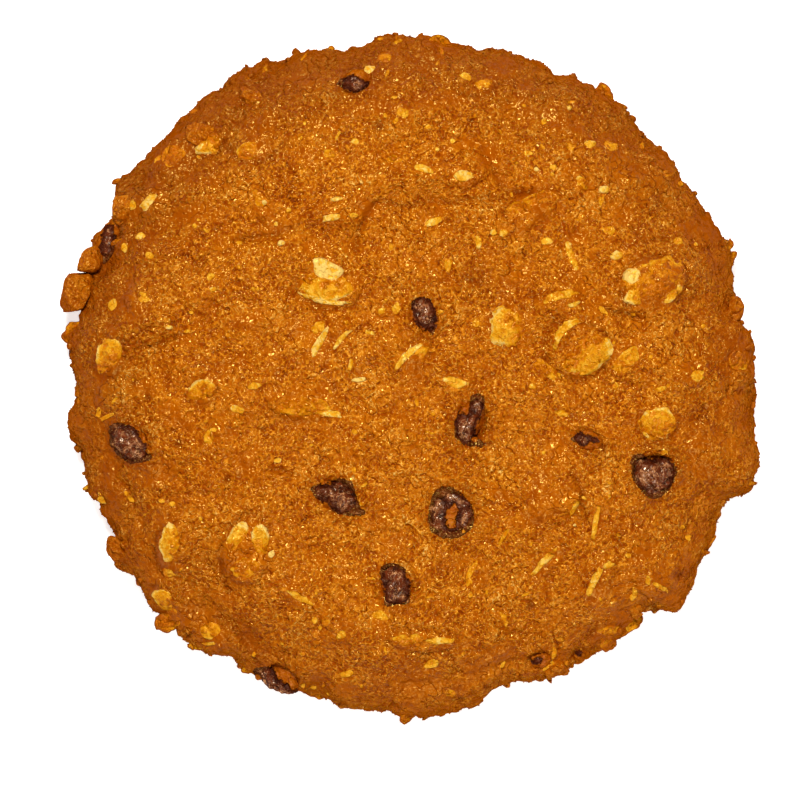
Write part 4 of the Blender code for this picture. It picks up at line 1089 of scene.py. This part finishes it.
# Where oats show: x, y, length, width (mm), turn (degrees), and how bare each is, from amber at 0 to cream
# at 1. A bent one has the bow of its middle (mm) too. One whose other side is overgrown has also the way
# (degrees) that its bare edge faces.
OATS = (
    (-11.7, 13.4, 8.4, 5.2, -12, 0.62, 0, -100), (-12.2, 15.9, 5.2, 3.3, -25, 0.98),
    (-12, 11.5, 9.2, 1, -10, 0.95, -0.8), (-13.2, 7.3, 3.4, 2, 40, 0.45), (-13.1, 5.2, 5.6, 1.25, 60, 0.85),
    (-9.8, 5.6, 4.3, 1, 48, 0.7, 0.3), (-5.7, 6.6, 2, 0.9, -10, 0.6), (-1.7, 10.2, 2.6, 1.6, 85, 0.45),
    (-3.9, 9.8, 1.5, 1.3, 0, 0.5), (0, 2.9, 6.7, 1.2, 43, 0.75, 0.7), (1.9, 3.9, 2.8, 2.2, 30, 0.32),
    (7, -0.8, 4.4, 1.7, -15, 0.75), (-8.5, 1.8, 2, 0.9, 80, 0.6), (-7.2, -0.4, 2.8, 0.8, 8, 0.9),
    (-15.6, -4.3, 9, 3.4, -4, 0.3, 0, -60), (-11.5, -5.4, 3.6, 1.3, -8, 0.66),
    (5.9, 16.5, 2.6, 1.5, 90, 0.45), (10.1, 7.9, 1.8, 1.4, 0, 0.4), (-18.8, 19.8, 1.3, 1, 10, 0.8),
    (10.3, 20, 2.2, 0.9, 90, 0.65), (15, 7.4, 6.8, 6.2, 80, 0.62, 0, 190),
    (22.6, 12, 5.6, 1.8, 17, 0.5, 0.2), (24.4, 10.7, 2.3, 0.9, 15, 0.72), (24.3, 17.6, 5, 1.3, -67, 0.5),
    (23.8, 19.4, 1.6, 1.2, -60, 0.66), (30.7, 18, 2.2, 1.5, 15, 0.8), (28.9, 9.8, 2.6, 1, -45, 0.42),
    (23.9, 6.7, 7.4, 1.7, 40, 0.62, 1.9), (26.3, 3.2, 8.4, 5.6, 30, 0.55, 0, -50),
    (32, 2.1, 6.4, 3, 45, 0.58, 0, 60), (20.4, 1.2, 6.8, 2.3, -34, 0.42, 0, -35),
    (18.4, -1.4, 1.3, 0.9, 0, 0.5), (30.8, -1.5, 1.6, 1, 80, 0.6), (22.6, -5.4, 2.6, 1.4, -20, 0.46),
    (36.5, 14.3, 9.4, 6.8, 15, 0.3, 0, 110), (33.3, 14.8, 3.1, 2.5, 20, 1), (37.3, 16.4, 1.5, 0.7, 0, 0.75),
    (33.4, 11.9, 3.3, 3.1, 60, 0.72, 0, 190), (39.3, 12.3, 4.6, 1.6, 44, 0.55, -0.4),
    (37.2, -6.9, 6.4, 5.8, 35, 0.56, 0, 100), (37.7, -5.2, 3, 1, 33, 0.64), (35.3, -8.5, 1.7, 0.9, -50, 0.7),
    (42.8, 0.2, 2.6, 2, 10, 0.5), (37.5, -1.8, 2.1, 0.9, 20, 0.55), (29.9, 21.7, 2.5, 1.5, 0, 0.5),
    (40.1, 20.2, 1.6, 1.4, 0, 0.5), (11.4, 43.5, 3.4, 1.8, 5, 0.58, 0, 170),
    (8.6, 44.7, 2.2, 1.2, -30, 0.75), (24, 40, 0.9, 0.8, 0, 0.8), (24.2, 40.9, 1.4, 0.6, 0, 0.42),
    (20.2, 37.9, 1.4, 1, 80, 0.5), (17.8, 33.2, 1.6, 1, 0, 0.6), (24.2, 34.3, 2, 1.8, 0, 0.4),
    (27, 34.5, 1.8, 1.4, 0, 0.7), (30.1, 34.3, 2.4, 2, 0, 0.36), (21.5, 31.1, 1.3, 1.1, 0, 0.6),
    (19, 30.8, 0.9, 0.8, 0, 0.8), (25.9, 28.6, 3.4, 1.9, -50, 0.62, 0, 140), (29.1, 27.8, 1.7, 1.5, 0, 1),
    (28.6, 26, 2.1, 0.9, 85, 0.56), (18.3, 25.7, 8, 2.8, 22, 0.24, 0, 120), (12.6, 21.4, 1.3, 1.1, 0, 0.76),
    (14.1, 21.2, 1.5, 1.2, 0, 0.58), (10.5, 19.8, 2, 0.9, 85, 0.62), (20.4, 20.1, 1.9, 1.5, 0, 0.65),
    (-5.8, 45.7, 2.2, 1.7, 10, 0.82), (-8.5, 43.2, 1, 0.8, 0, 0.7), (-7, 43, 0.9, 0.8, 0, 0.62),
    (-3.5, 47.5, 2.7, 2, 0, 0.26), (-1.4, 50, 1.6, 1.3, 0, 0.36), (-0.8, 39, 2.4, 2.1, 0, 0.48),
    (-1.9, 37.9, 1.8, 0.9, 40, 0.4), (2.4, 30.8, 3.5, 1.3, -18, 0.76), (8.2, 29.7, 3.1, 2.1, 10, 0.76),
    (-2, 32.3, 2.5, 1.5, 10, 0.28), (-11.5, 23.5, 3.5, 1.1, 12, 0.72), (-10.6, 26.3, 2.3, 0.8, 10, 0.7),
    (-8.1, 23.9, 1.7, 1, 0, 0.6), (3.8, 23, 3, 1.4, 15, 0.58), (-7.9, 35, 1.5, 1.2, 0, 0.6),
    (-11.7, 33.1, 2.1, 1.6, 0, 0.36), (4.3, 33.7, 1, 0.8, 0, 0.7), (6.6, 35, 1.3, 1, 0, 0.5),
    (-10.4, 35.8, 1.9, 0.5, 60, 0.62), (-29.4, 34.7, 5.4, 3.4, 30, 0.56, 0, 200),
    (-30.8, 34.2, 1.5, 1, 30, 0.98), (-37.3, 32.4, 2.1, 0.9, 55, 0.45), (-38.6, 26, 3.4, 1.7, 50, 0.82),
    (-41, 25.6, 2.2, 1.5, 80, 0.5), (-39.9, 20.9, 1.9, 1.2, 10, 0.75), (-24, 33.3, 4, 3, 20, 0.22),
    (-22.3, 26.4, 3.4, 1.4, -70, 0.42), (-21.3, 25.8, 1.2, 0.9, 0, 0.9), (-17.7, 24.7, 1.1, 0.9, 0, 0.7),
    (-19.6, 22.6, 0.9, 0.8, 0, 0.8), (-25, 19.8, 1.2, 0.9, 0, 0.5), (-29.2, 14.8, 1.7, 1.4, 0, 0.55),
    (-28.8, 13, 1.3, 1, 0, 0.5), (-38.4, 18, 1.8, 1.5, 0, 0.46), (-43.9, 10.8, 2.3, 1.6, 85, 0.6),
    (-42.2, 19.2, 1.5, 1.2, 70, 0.55), (-39, 11.6, 1.7, 1.4, 0, 0.5), (-35.4, 7.3, 1.1, 0.8, 0, 0.9),
    (-44.4, 3.1, 6.4, 4.2, 78, 0.56, 0, 110), (-30.5, -2.1, 4.6, 3.9, 30, 0.58, 0, 100),
    (-46.1, -5.3, 2.1, 0.9, 75, 0.6), (-44.7, -5.9, 3.2, 0.8, 25, 0.42), (-43.6, -3.5, 1.9, 0.6, 50, 0.5),
    (-29.5, -8.9, 2.5, 1.9, 80, 0.6), (-25.3, -4.8, 2.5, 1.4, -20, 0.65), (-22.7, -1.3, 2.5, 1.2, 10, 0.5),
    (-19.4, -12.4, 1.3, 1, 0, 0.8), (-45.9, -18.1, 2.3, 1.3, -65, 0.7), (-41.5, -17.9, 2.5, 0.9, -50, 0.5),
    (-36.6, -18.5, 1.3, 1, 0, 0.5), (-35.1, -18.9, 1.3, 1, 0, 0.6),
    (-35.2, -24.7, 6.4, 3.8, 80, 0.74, 0, 170), (-35.4, -29, 2.5, 2, 0, 0.35),
    (-21.8, -24.4, 5.4, 3, 100, 0.78, 0, 100), (-25.4, -23.8, 5.2, 3, 68, 0.7, 0, 110),
    (-24, -28.4, 4.6, 3.4, 20, 0.16), (-20.3, -26.3, 1.4, 1, 60, 0.95),
    (-36.3, -33.3, 4, 3.2, -40, 0.62, 0, 150), (-15.9, -32.8, 5.2, 1.1, -30, 0.56),
    (-14, -36.2, 1.5, 0.8, -50, 0.5), (-29.6, -37.7, 3.6, 2.8, 0, 0.3), (-29.7, -39.8, 2.7, 0.7, 5, 0.52),
    (0.1, -39.1, 5.6, 2.3, 2, 0.4, 0, 100), (4.6, -39.1, 4.8, 1.1, -3, 0.62),
    (-4.2, -35.4, 3.2, 1.8, -15, 0.4), (-9.9, -38.2, 2.1, 1.6, 10, 0.45), (-13.9, -36.1, 1.5, 1, 80, 0.55),
    (-12.2, -36.5, 1.5, 1.3, 0, 0.32), (9.3, -28.8, 3.7, 1, 60, 0.5), (9, -30.4, 1.7, 1.2, 80, 0.36),
    (13.9, -35.7, 3.3, 1.6, -50, 0.32), (3.6, -42.6, 3, 1.7, 10, 0.58), (-9, -44.1, 2.5, 1.2, 5, 0.5),
    (6.3, -47.2, 1.9, 1.6, 0, 0.45), (-15.6, -46, 1.5, 0.8, 80, 0.5), (-14.1, -46.4, 1.1, 1, 0, 0.5),
    (27.9, -21.3, 6.7, 0.95, 79, 0.66, 0.2), (20.3, -27.3, 6.8, 1.2, 46, 0.62, 0.2),
    (14.1, -23.7, 3.5, 0.8, 60, 0.5), (24.5, -19.7, 4, 0.8, 60, 0.5), (24.7, -22, 0.6, 0.5, 0, 1),
    (27.6, -30.3, 6.5, 1.3, 63, 0.7), (29.7, -27.9, 2.3, 1.2, 20, 0.62), (33.7, -32, 2.4, 0.9, 100, 0.5),
    (37.5, -31.3, 3.7, 0.9, -30, 0.5), (35.6, -30.2, 1.8, 1, 85, 0.5), (29.9, -38, 4.5, 1.9, 5, 0.4, 0, 90),
    (34, -37.2, 3.5, 1.7, 35, 0.36), (22.6, -39.1, 1.9, 1, 0, 0.45), (20.9, -43, 2.5, 1.2, 30, 0.6),
    (32.6, -26.5, 1.3, 0.8, 0, 0.5), (40.8, -22.4, 1, 0.8, 0, 0.5), (41.8, -24, 1.5, 1.1, 0, 0.45),
)
OAT_FACETS = 6  # straight breaks round a flake
OAT_FACET_SHIFT = 0.35
OAT_FACET_REACH = (0.80, 1.06)
OAT_SHARPNESS = 9
OAT_SUNK = 0.30 * MM  # how far a flake's overgrown side lies under the grain
OAT_RIM = 0.13 * MM  # how far the rim of a whole flake stands up
OAT_BOTTOM = 0.8 * MM
OAT_CLEARANCE = 0.4 * MM  # the lowest that a flake of the side reaches above the tray
LARGE_OAT = 2.4  # mm: a wider flake is less ragged, and a longer one has more film
# Splinters and meal of oat: how many, then the least and most of length and width (mm) and of bareness.
SMALL_OATS = (120, (0.6, 1.7), (0.45, 0.9), (0.15, 0.55))
SIDE_SMALL_OATS = (60, (0.8, 3.0), (0.5, 1.5), (0.0, 0.35))
SMALL_OAT_HEIGHTS = (2.5, 9.5)  # mm, of those in the side
STREWN_RADIUS = 47.5
SIDE_OAT_SHARE = 0.7  # of a flake in the side, what shows
SIDE_OAT_BARENESS = 0.12
OAT_GLOSS = 0.55
OAT_SHINE_COLOUR = (1.0, 0.76, 0.20, 1.0)


def flake_outline(angle, draw):
    """A broken flake's outline: the reach in each direction of a round with straight breaks in it."""
    shift = draw.uniform(-OAT_FACET_SHIFT, OAT_FACET_SHIFT, OAT_FACETS)
    breaks = 2 * math.pi * (np.arange(OAT_FACETS) + shift) / OAT_FACETS
    reach = draw.uniform(*OAT_FACET_REACH, OAT_FACETS)
    return rounded_reach(np.maximum(np.cos(angle[:, None] - breaks), 0) / reach, OAT_SHARPNESS)


def blunted(value, power):
    return np.sign(value) * np.abs(value) ** power


def crust_under(placing, own):
    """How high (m) the crust lies at each place of a flake's grid, in the flake's own frame."""
    down = -placing.col[2].to_3d()
    heights = np.zeros(own.shape[:2])
    for index in np.ndindex(heights.shape):
        start = Vector(placed(placing, own[index] + (0, 0, 3 * MM)))
        hit = dough_tree.ray_cast(start, down, 8 * MM)
        heights[index] = 3 * MM - hit[3] if hit[0] is not None else 0
    return heights


def evened(heights, step):
    """The heights smoothed over about the same width (mm), whatever the step between them."""
    for _ in range(min(30, round(2.5 * (0.5 / step) ** 2) + 1)):
        inner, outer = np.vstack([heights[:1], heights[:-1]]), np.vstack([heights[1:], heights[-1:]])
        heights = (heights + inner + outer + np.roll(heights, 1, 1) + np.roll(heights, -1, 1)) / 5
        heights[0] = heights[:2].mean()
    return heights


def oat_faces(rings, spokes):
    """The faces of a flake: its top, its edge down into the dough, and its bottom."""
    faces = []
    for ring in range(rings):
        near, far = ring * spokes, (ring + 1) * spokes
        for spoke in range(spokes):
            after = (spoke + 1) % spokes
            faces.append((near + spoke, far + spoke, far + after, near + after))
    last = rings * spokes
    return faces + [(last + spoke, last + spokes, last + (spoke + 1) % spokes) for spoke in range(spokes)]


def oat_shape(placing, length, width, bow, bare, side, seed):
    """One flake laid over the dough: points, faces, and its labels: bare, shown, film, stain, grain."""
    draw = np.random.default_rng(seed)
    rings, spokes = 5 + round(0.9 * length), 18 + 4 * round(length)
    share = np.concatenate([[0.001], np.linspace(0, 1, rings)[1:] ** 0.75])
    share, angle = np.meshgrid(share, np.linspace(0, 2 * math.pi, spokes, endpoint=False), indexing="ij")
    outline = flake_outline(angle.ravel(), draw).reshape(share.shape)
    blunt = 1 if length < 2 * width else 0.8
    across = blunted(np.cos(angle), blunt) * share * outline
    up = blunted(np.sin(angle), blunt) * share * outline
    own = np.stack([across * length / 2, up * width / 2 + bow * (0.5 - across ** 2), 0 * across], axis=2) * MM
    ragged = noise_at(own.reshape(-1, 3), 0.7, seed).reshape(share.shape)
    own[..., :2] *= (1 + (0.14 if width > LARGE_OAT else 0.24) * share * ragged)[..., None]
    heights = evened(crust_under(placing, own), step=max(length / 2 / rings, 0.12))
    mottle = noise_at(own.reshape(-1, 3), 1.3, seed * 1.7).reshape(share.shape)
    bareness = bare + 0.06 + 0.20 * mottle
    whole = min(max(width - 2.0, 0), 1)
    rim = whole * np.exp(-(((share - 0.86) / 0.10) ** 2))
    if side is not None:
        toward = np.cos(angle - math.radians(side)) * share + 0.15 * mottle
        at_edge = smoothstep((share - 0.60) / 0.25) * smoothstep((toward + 0.05) / 0.45)
        bareness = bare * (0.45 + 0.35 * at_edge + 0.40 * smoothstep((toward + 0.30) / 0.7)) + 0.12 * mottle
        heights -= OAT_SUNK * smoothstep((0.25 * ragged - toward - 0.25) / 0.5)
        rim = rim * smoothstep((toward + 0.35) / 0.6)
    # The rim of a whole flake is paler: partly its bare edge, partly a painted highlight.
    bareness = bareness + rim * (0.16 + 0.40 * mottle)
    heights += OAT_RIM * rim
    edge = smoothstep((share - 0.78) / 0.22)
    rise = (0.05 + 0.17 * bare) * MM + 0.11 * MM * (1 - share ** 2) * min(width / 2, 2.2)
    heights += rise * (1 - edge) - 0.25 * MM * edge
    own[..., 2] = heights
    top = placed(placing, own.reshape(-1, 3))
    under = placed(placing, own[-1] - (0, 0, OAT_BOTTOM))
    middle = placed(placing, own[-1].mean(axis=0) - (0, 0, OAT_BOTTOM))
    top[:spokes] = top[:spokes].mean(axis=0)
    points = np.vstack([top, under, middle[None]])
    points[:, 2] = np.maximum(points[:, 2], OAT_CLEARANCE)
    faded = 0.55 + 0.30 * whole
    shown = 1.1 * bareness + 0.42 - 0.95 * smoothstep((share - faded) / (1 - faded)) + 0.50 * ragged
    film = 0.85 if length > LARGE_OAT else 0.5
    # Painted shade round the outer edge of a whole flake.
    edge_shade = 0.7 * whole * smoothstep((share - 0.90) / 0.08)
    bareness, shown, edge_shade = (np.concatenate([values.ravel(), np.zeros(spokes + 1)])
                                for values in (bareness, shown, edge_shade))
    return points, oat_faces(rings, spokes), bareness, shown, film, edge_shade, EVEN_GRAIN


def on_crust(x, y, turn, reach):
    """A frame on the crust over this place (mm), turned about the way that the crust faces there."""
    place = crust_below(dough_tree, x, y)
    if place is None:
        place = dough_tree.find_nearest(Vector((x * MM, y * MM, 6 * MM)))[0]
    return seat(place, crust_direction(coarse_tree, place, reach * MM), turn)


oat_shapes = []
for index, (x, y, length, width, turn, bare, *rest) in enumerate(OATS):
    bow, side = [*rest, *(0, None)[len(rest):]]
    placing = on_crust(x, y, turn, max(length / 2, 2.5))
    oat_shapes.append(oat_shape(placing, length, width, bow, bare, side and side - turn, index))
for index, (placing, length, width) in enumerate(side_flakes):
    length, width = SIDE_OAT_SHARE * length / MM, SIDE_OAT_SHARE * width / MM
    oat_shapes.append(oat_shape(placing, length, width, 0, SIDE_OAT_BARENESS, 57.0 * index, 500 + index))
draw = np.random.default_rng(31)


def small_oats(number, lengths, widths, bareness, find_place, seed):
    for index in range(number):
        placing = find_place()
        length, width = draw.uniform(*lengths), draw.uniform(*widths)
        yield oat_shape(placing, length, width, 0, draw.uniform(*bareness), None, seed + index)


def place_on_top():
    out, angle = STREWN_RADIUS * math.sqrt(draw.uniform()), draw.uniform(0, 2 * math.pi)
    return on_crust(out * math.cos(angle), out * math.sin(angle), draw.uniform(0, 180), 2.5)


def place_in_side():
    place, _ = side_at(dough_tree, draw.uniform(0, 360), draw.uniform(*SMALL_OAT_HEIGHTS))
    return seat(place, crust_direction(coarse_tree, place, 2.5 * MM), draw.uniform(0, 180))


oat_shapes.extend(small_oats(*SMALL_OATS, place_on_top, seed=600))
oat_shapes.extend(small_oats(*SIDE_SMALL_OATS, place_in_side, seed=900))

# From the amber of a soaked oat to the cream of a bare one.
OAT_STOPS = (
    (0.0, srgb(188, 94, 0)),
    (0.3, srgb(204, 120, 2)),
    (0.55, srgb(218, 144, 12)),
    (0.8, srgb(228, 168, 42)),
    (1.0, srgb(236, 196, 104)),
)

oat_material, tree, shader, place = new_material("baked_oat", OAT_STOPS[3][1])
streaks = noise_wire(shifted(place, 0.5, 0.4), 0.60)
patches = noise_wire(place, 1.3, 2.0)
strand = streaks.near_half(0.10)
cream_share = attribute(tree, "bare") - 0.02
cream_share = cream_share + (streaks - 0.5) * 0.7 + (patches - 0.5) * 1.2 + (strand - 0.3) * 0.20
oat_colour = ramp_colour(cream_share, OAT_STOPS)
oat_relief = streaks * 0.20 + patches * 0.40 + strand * 0.08
colour, rough, relief, on_side = crust_finish(tree, place)
growth = (noise_wire(place, 0.7) - 0.5) * 1.7 + (noise_wire(place, 2.0) - 0.5) * 1.4
shown = (attribute(tree, "shown") + growth).between(0.20, 0.80)
colour = mix_colours(shown, colour, oat_colour)
relief = relief * (1 - shown * 0.85) + oat_relief * shown
set_finish(shader, colour, rough + shown * 0.08, relief, on_side * SIDE_DRYNESS, OAT_GLOSS, OAT_SHINE_COLOUR)

flakes = add_piece("oat_flakes", oat_shapes, oat_material, ("bare", "shown", "film", "stain", "grain"))
bm = bmesh.new()
bm.from_mesh(flakes.data)
bmesh.ops.remove_doubles(bm, verts=bm.verts, dist=1e-6)
bmesh.ops.recalc_face_normals(bm, faces=bm.faces)
bm.to_mesh(flakes.data)
bm.free()
bake_on(flakes)

# ---- Raisins ------------------------------------------------------------------------------------
# Whole raisins pushed into the dough: dark, leathery, sunk in pits of the crust, with the skin dried into
# sharp wrinkles. Each is a piece of its own and stands where its solid does.

# Hollows that give some raisins their outline: the direction of each (its own x, y, z), reach, depth.
RAISIN_HOLLOWS = {
    "raisin_comma": ((0.1, -1.0, 0.3), 0.40, 0.42),
    "raisin_ring": ((0.0, 0.0, 1.0), 0.30, 0.38),
    "raisin_heart": ((1.0, 0.0, 0.3), 0.30, 0.36),
    "raisin_pointed": ((0.0, 0.9, 0.5), 0.35, 0.25),
}
RAISIN_WRINKLE = 0.16
RAISIN_BEND = 0.7 * MM
RIDGE_HEIGHT = 0.20 * MM
SMALL_RIDGE_HEIGHT = 0.07 * MM
SMALL_RAISIN = 6.5  # mm: a shorter raisin has a coarser mesh
RAISIN_SEED_STEP = 5.3
RAISIN_GLOSS = 0.8
RAISIN_SHINE_COLOUR = (1.0, 0.80, 0.60, 1.0)
OVERGROWTH_FILM, OVERGROWTH_STAIN = 0.55, 0.30


def raisin_folds(directions, seed):
    """How far a raisin's skin folds inward in each direction, from 0 to 1, as in its solid."""
    broad = np.abs([noise.noise(Vector(way) * 1.7 + Vector((seed, 0, 0))) for way in directions])
    fine = np.abs([noise.noise(Vector(way) * 3.6 + Vector((0, seed, 0))) for way in directions])
    return np.clip(0.75 * (1 - 1.8 * broad) + 0.25 * (1 - 2 * fine), 0, 1)


def hollow_depth(name, directions):
    if name not in RAISIN_HOLLOWS:
        return 0
    toward, reach, depth = RAISIN_HOLLOWS[name]
    facing = directions @ np.array(Vector(toward).normalized())
    return depth * np.exp(-(((1 - facing) / reach) ** 2))


def raisin_shape(name, seed, length, width, height):
    directions, faces = unit_sphere(5 if length >= SMALL_RAISIN else 4)
    sizes = np.array((length, width, height)) * MM
    shrink = RAISIN_WRINKLE * raisin_folds(directions, seed) + hollow_depth(name, directions)
    points = directions * sizes * (1 - shrink)[:, None] / 2
    slide = np.stack([noise_at(points, 1.6, seed + shift) for shift in (0.0, 7.7, 15.4)], axis=1)
    bent = points + slide * RAISIN_BEND
    ridges = 1 - 2.4 * np.abs(noise_at(bent * (1.0, 1.0, 0.7), 1.05, seed))
    small_ridges = 1 - 2.4 * np.abs(noise_at(bent, 0.5, seed + 3))
    fold = RIDGE_HEIGHT * ridges + SMALL_RIDGE_HEIGHT * small_ridges - RIDGE_HEIGHT / 2
    return points + directions * fold[:, None], faces, np.clip(0.5 + 0.5 * ridges, 0, 1)


raisin_material, tree, shader, place = new_material("raisin_skin", RAISIN_BROWN)
outside = attribute(tree, "outside") + (noise_wire(place, 1.0) - 0.5) * 1.3
outside = outside + (noise_wire(place, 0.45) - 0.5) * 0.8
inner = 1 - outside.between(-0.85, -0.30)
colour, own_relief = raisin_finish(place, attribute(tree, "ridge"), inner)
crust_colour, _, relief, _ = crust_finish(tree, place)
covered = outside.between(-0.05, 0.30)
colour = mix_colours(covered, colour, crust_colour)
relief = relief * covered + own_relief * (1 - covered)
rough, dryness = 0.20 + (1 - inner) * 0.2, (1 - inner) * 0.6 + 0.1
set_finish(shader, colour, rough, relief, dryness, RAISIN_GLOSS, RAISIN_SHINE_COLOUR)

for index, (name, (_, _, length, width, height, _, sunk)) in enumerate(RAISINS.items()):
    placing = raisin_seats[name].copy()
    placing.translation -= placing.col[2].to_3d() * sunk * MM
    own, faces, ridges = raisin_shape(name, RAISIN_SEED_STEP * index, length, width, height)
    own = placed(placing, own)
    outside = outside_outline(own, RAISIN_OUTLINES[name]) / MM
    shape = (own, faces, ridges, outside, OVERGROWTH_FILM, OVERGROWTH_STAIN, EVEN_GRAIN)
    labels = ("ridge", "outside", "film", "stain", "grain")
    raisin = add_piece(f"{name}_skin", [shape], raisin_material, labels)
    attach(raisin, "root")
    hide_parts(name)

# ---- Crust granules -----------------------------------------------------------------------------
# The coarse sugar and meal of the dough's skin, where the film of syrup is thin. They are half sunk in the
# crust, thousands of them, each smaller than a millimetre.

GRANULE_INPUTS = {"Spacing": 0.48 * MM, "Smallest": 0.30 * MM, "Largest": 0.66 * MM}
GRANULE_FORM = ((0.8, 0.5, 0.4), (1.2, 0.8, 0.7))  # against the size drawn
GRANULE_FOOT = (0.002, 0.0045)  # m above the tray: no granules below the first

tree, wire, end = geometry_tree("crust_granules", *GRANULE_INPUTS)
granule = Wire.node(tree, "GeometryNodeMeshUVSphere", None, {"Radius": 0.5, "Segments": 4, "Rings": 2})
where = (1 - film_wire(tree) * 0.70) * height_share(tree, GRANULE_FOOT)
granules = strewn(tree, wire, granule, where, densest=3000000.0, seed=8, form=GRANULE_FORM)
end_tree(granules, wire["Material"], end)
strew_on(tree, GRANULE_INPUTS, "crust_granules")

# ---- Table and light ----------------------------------------------------------------------------
# A plain white table that glows a little, as a lit one does, in a warm pale room. A small soft light stands
# behind the cookie and a larger, weaker one before it. None of this is part of the cookie.

TABLE_REACH = 1.5
TABLE_DROP = 0.04 * MM  # keeps the table just clear of the cookie's underside

table_mesh = bpy.data.meshes.new("white_table")
corners = [(x * TABLE_REACH, y * TABLE_REACH, -TABLE_DROP) for x, y in ((-1, -1), (1, -1), (1, 1), (-1, 1))]
table_mesh.from_pydata(corners, [], [(0, 1, 2, 3)])
table = add_object("white_table", table_mesh)
table_material = bpy.data.materials.new("white_table")
table_material.use_nodes = True
table_material.diffuse_color = (0.9, 0.9, 0.9, 1.0)
shader = table_material.node_tree.nodes["Principled BSDF"]
shader.inputs["Base Color"].default_value = (0.86, 0.86, 0.86, 1.0)
shader.inputs["Roughness"].default_value = 0.7
shader.inputs["Emission Color"].default_value = (0.95, 0.98, 1.0, 1.0)
shader.inputs["Emission Strength"].default_value = 0.70
table_mesh.materials.append(table_material)

world = bpy.data.worlds.new("pale_room")
bpy.context.scene.world = world
world.use_nodes = True
world.node_tree.nodes["Background"].inputs["Color"].default_value = (1.0, 0.84, 0.62, 1.0)
world.node_tree.nodes["Background"].inputs["Strength"].default_value = 0.14


def soft_light(name, location, width, power, colour):
    """A square studio light that faces the cookie."""
    data = bpy.data.lights.new(name, "AREA")
    data.shape = "SQUARE"
    data.size = width
    data.energy = power
    data.color = colour
    light = add_object(name, data)
    light.location = location
    light.rotation_euler = (-Vector(location)).to_track_quat("-Z", "Y").to_euler()


soft_light("key_light", (-0.06, 0.33, 0.68), 0.15, 5.7, (1.0, 0.95, 0.86))
soft_light("fill_light", (0.12, -0.40, 0.60), 0.34, 2.2, (1.0, 0.96, 0.90))
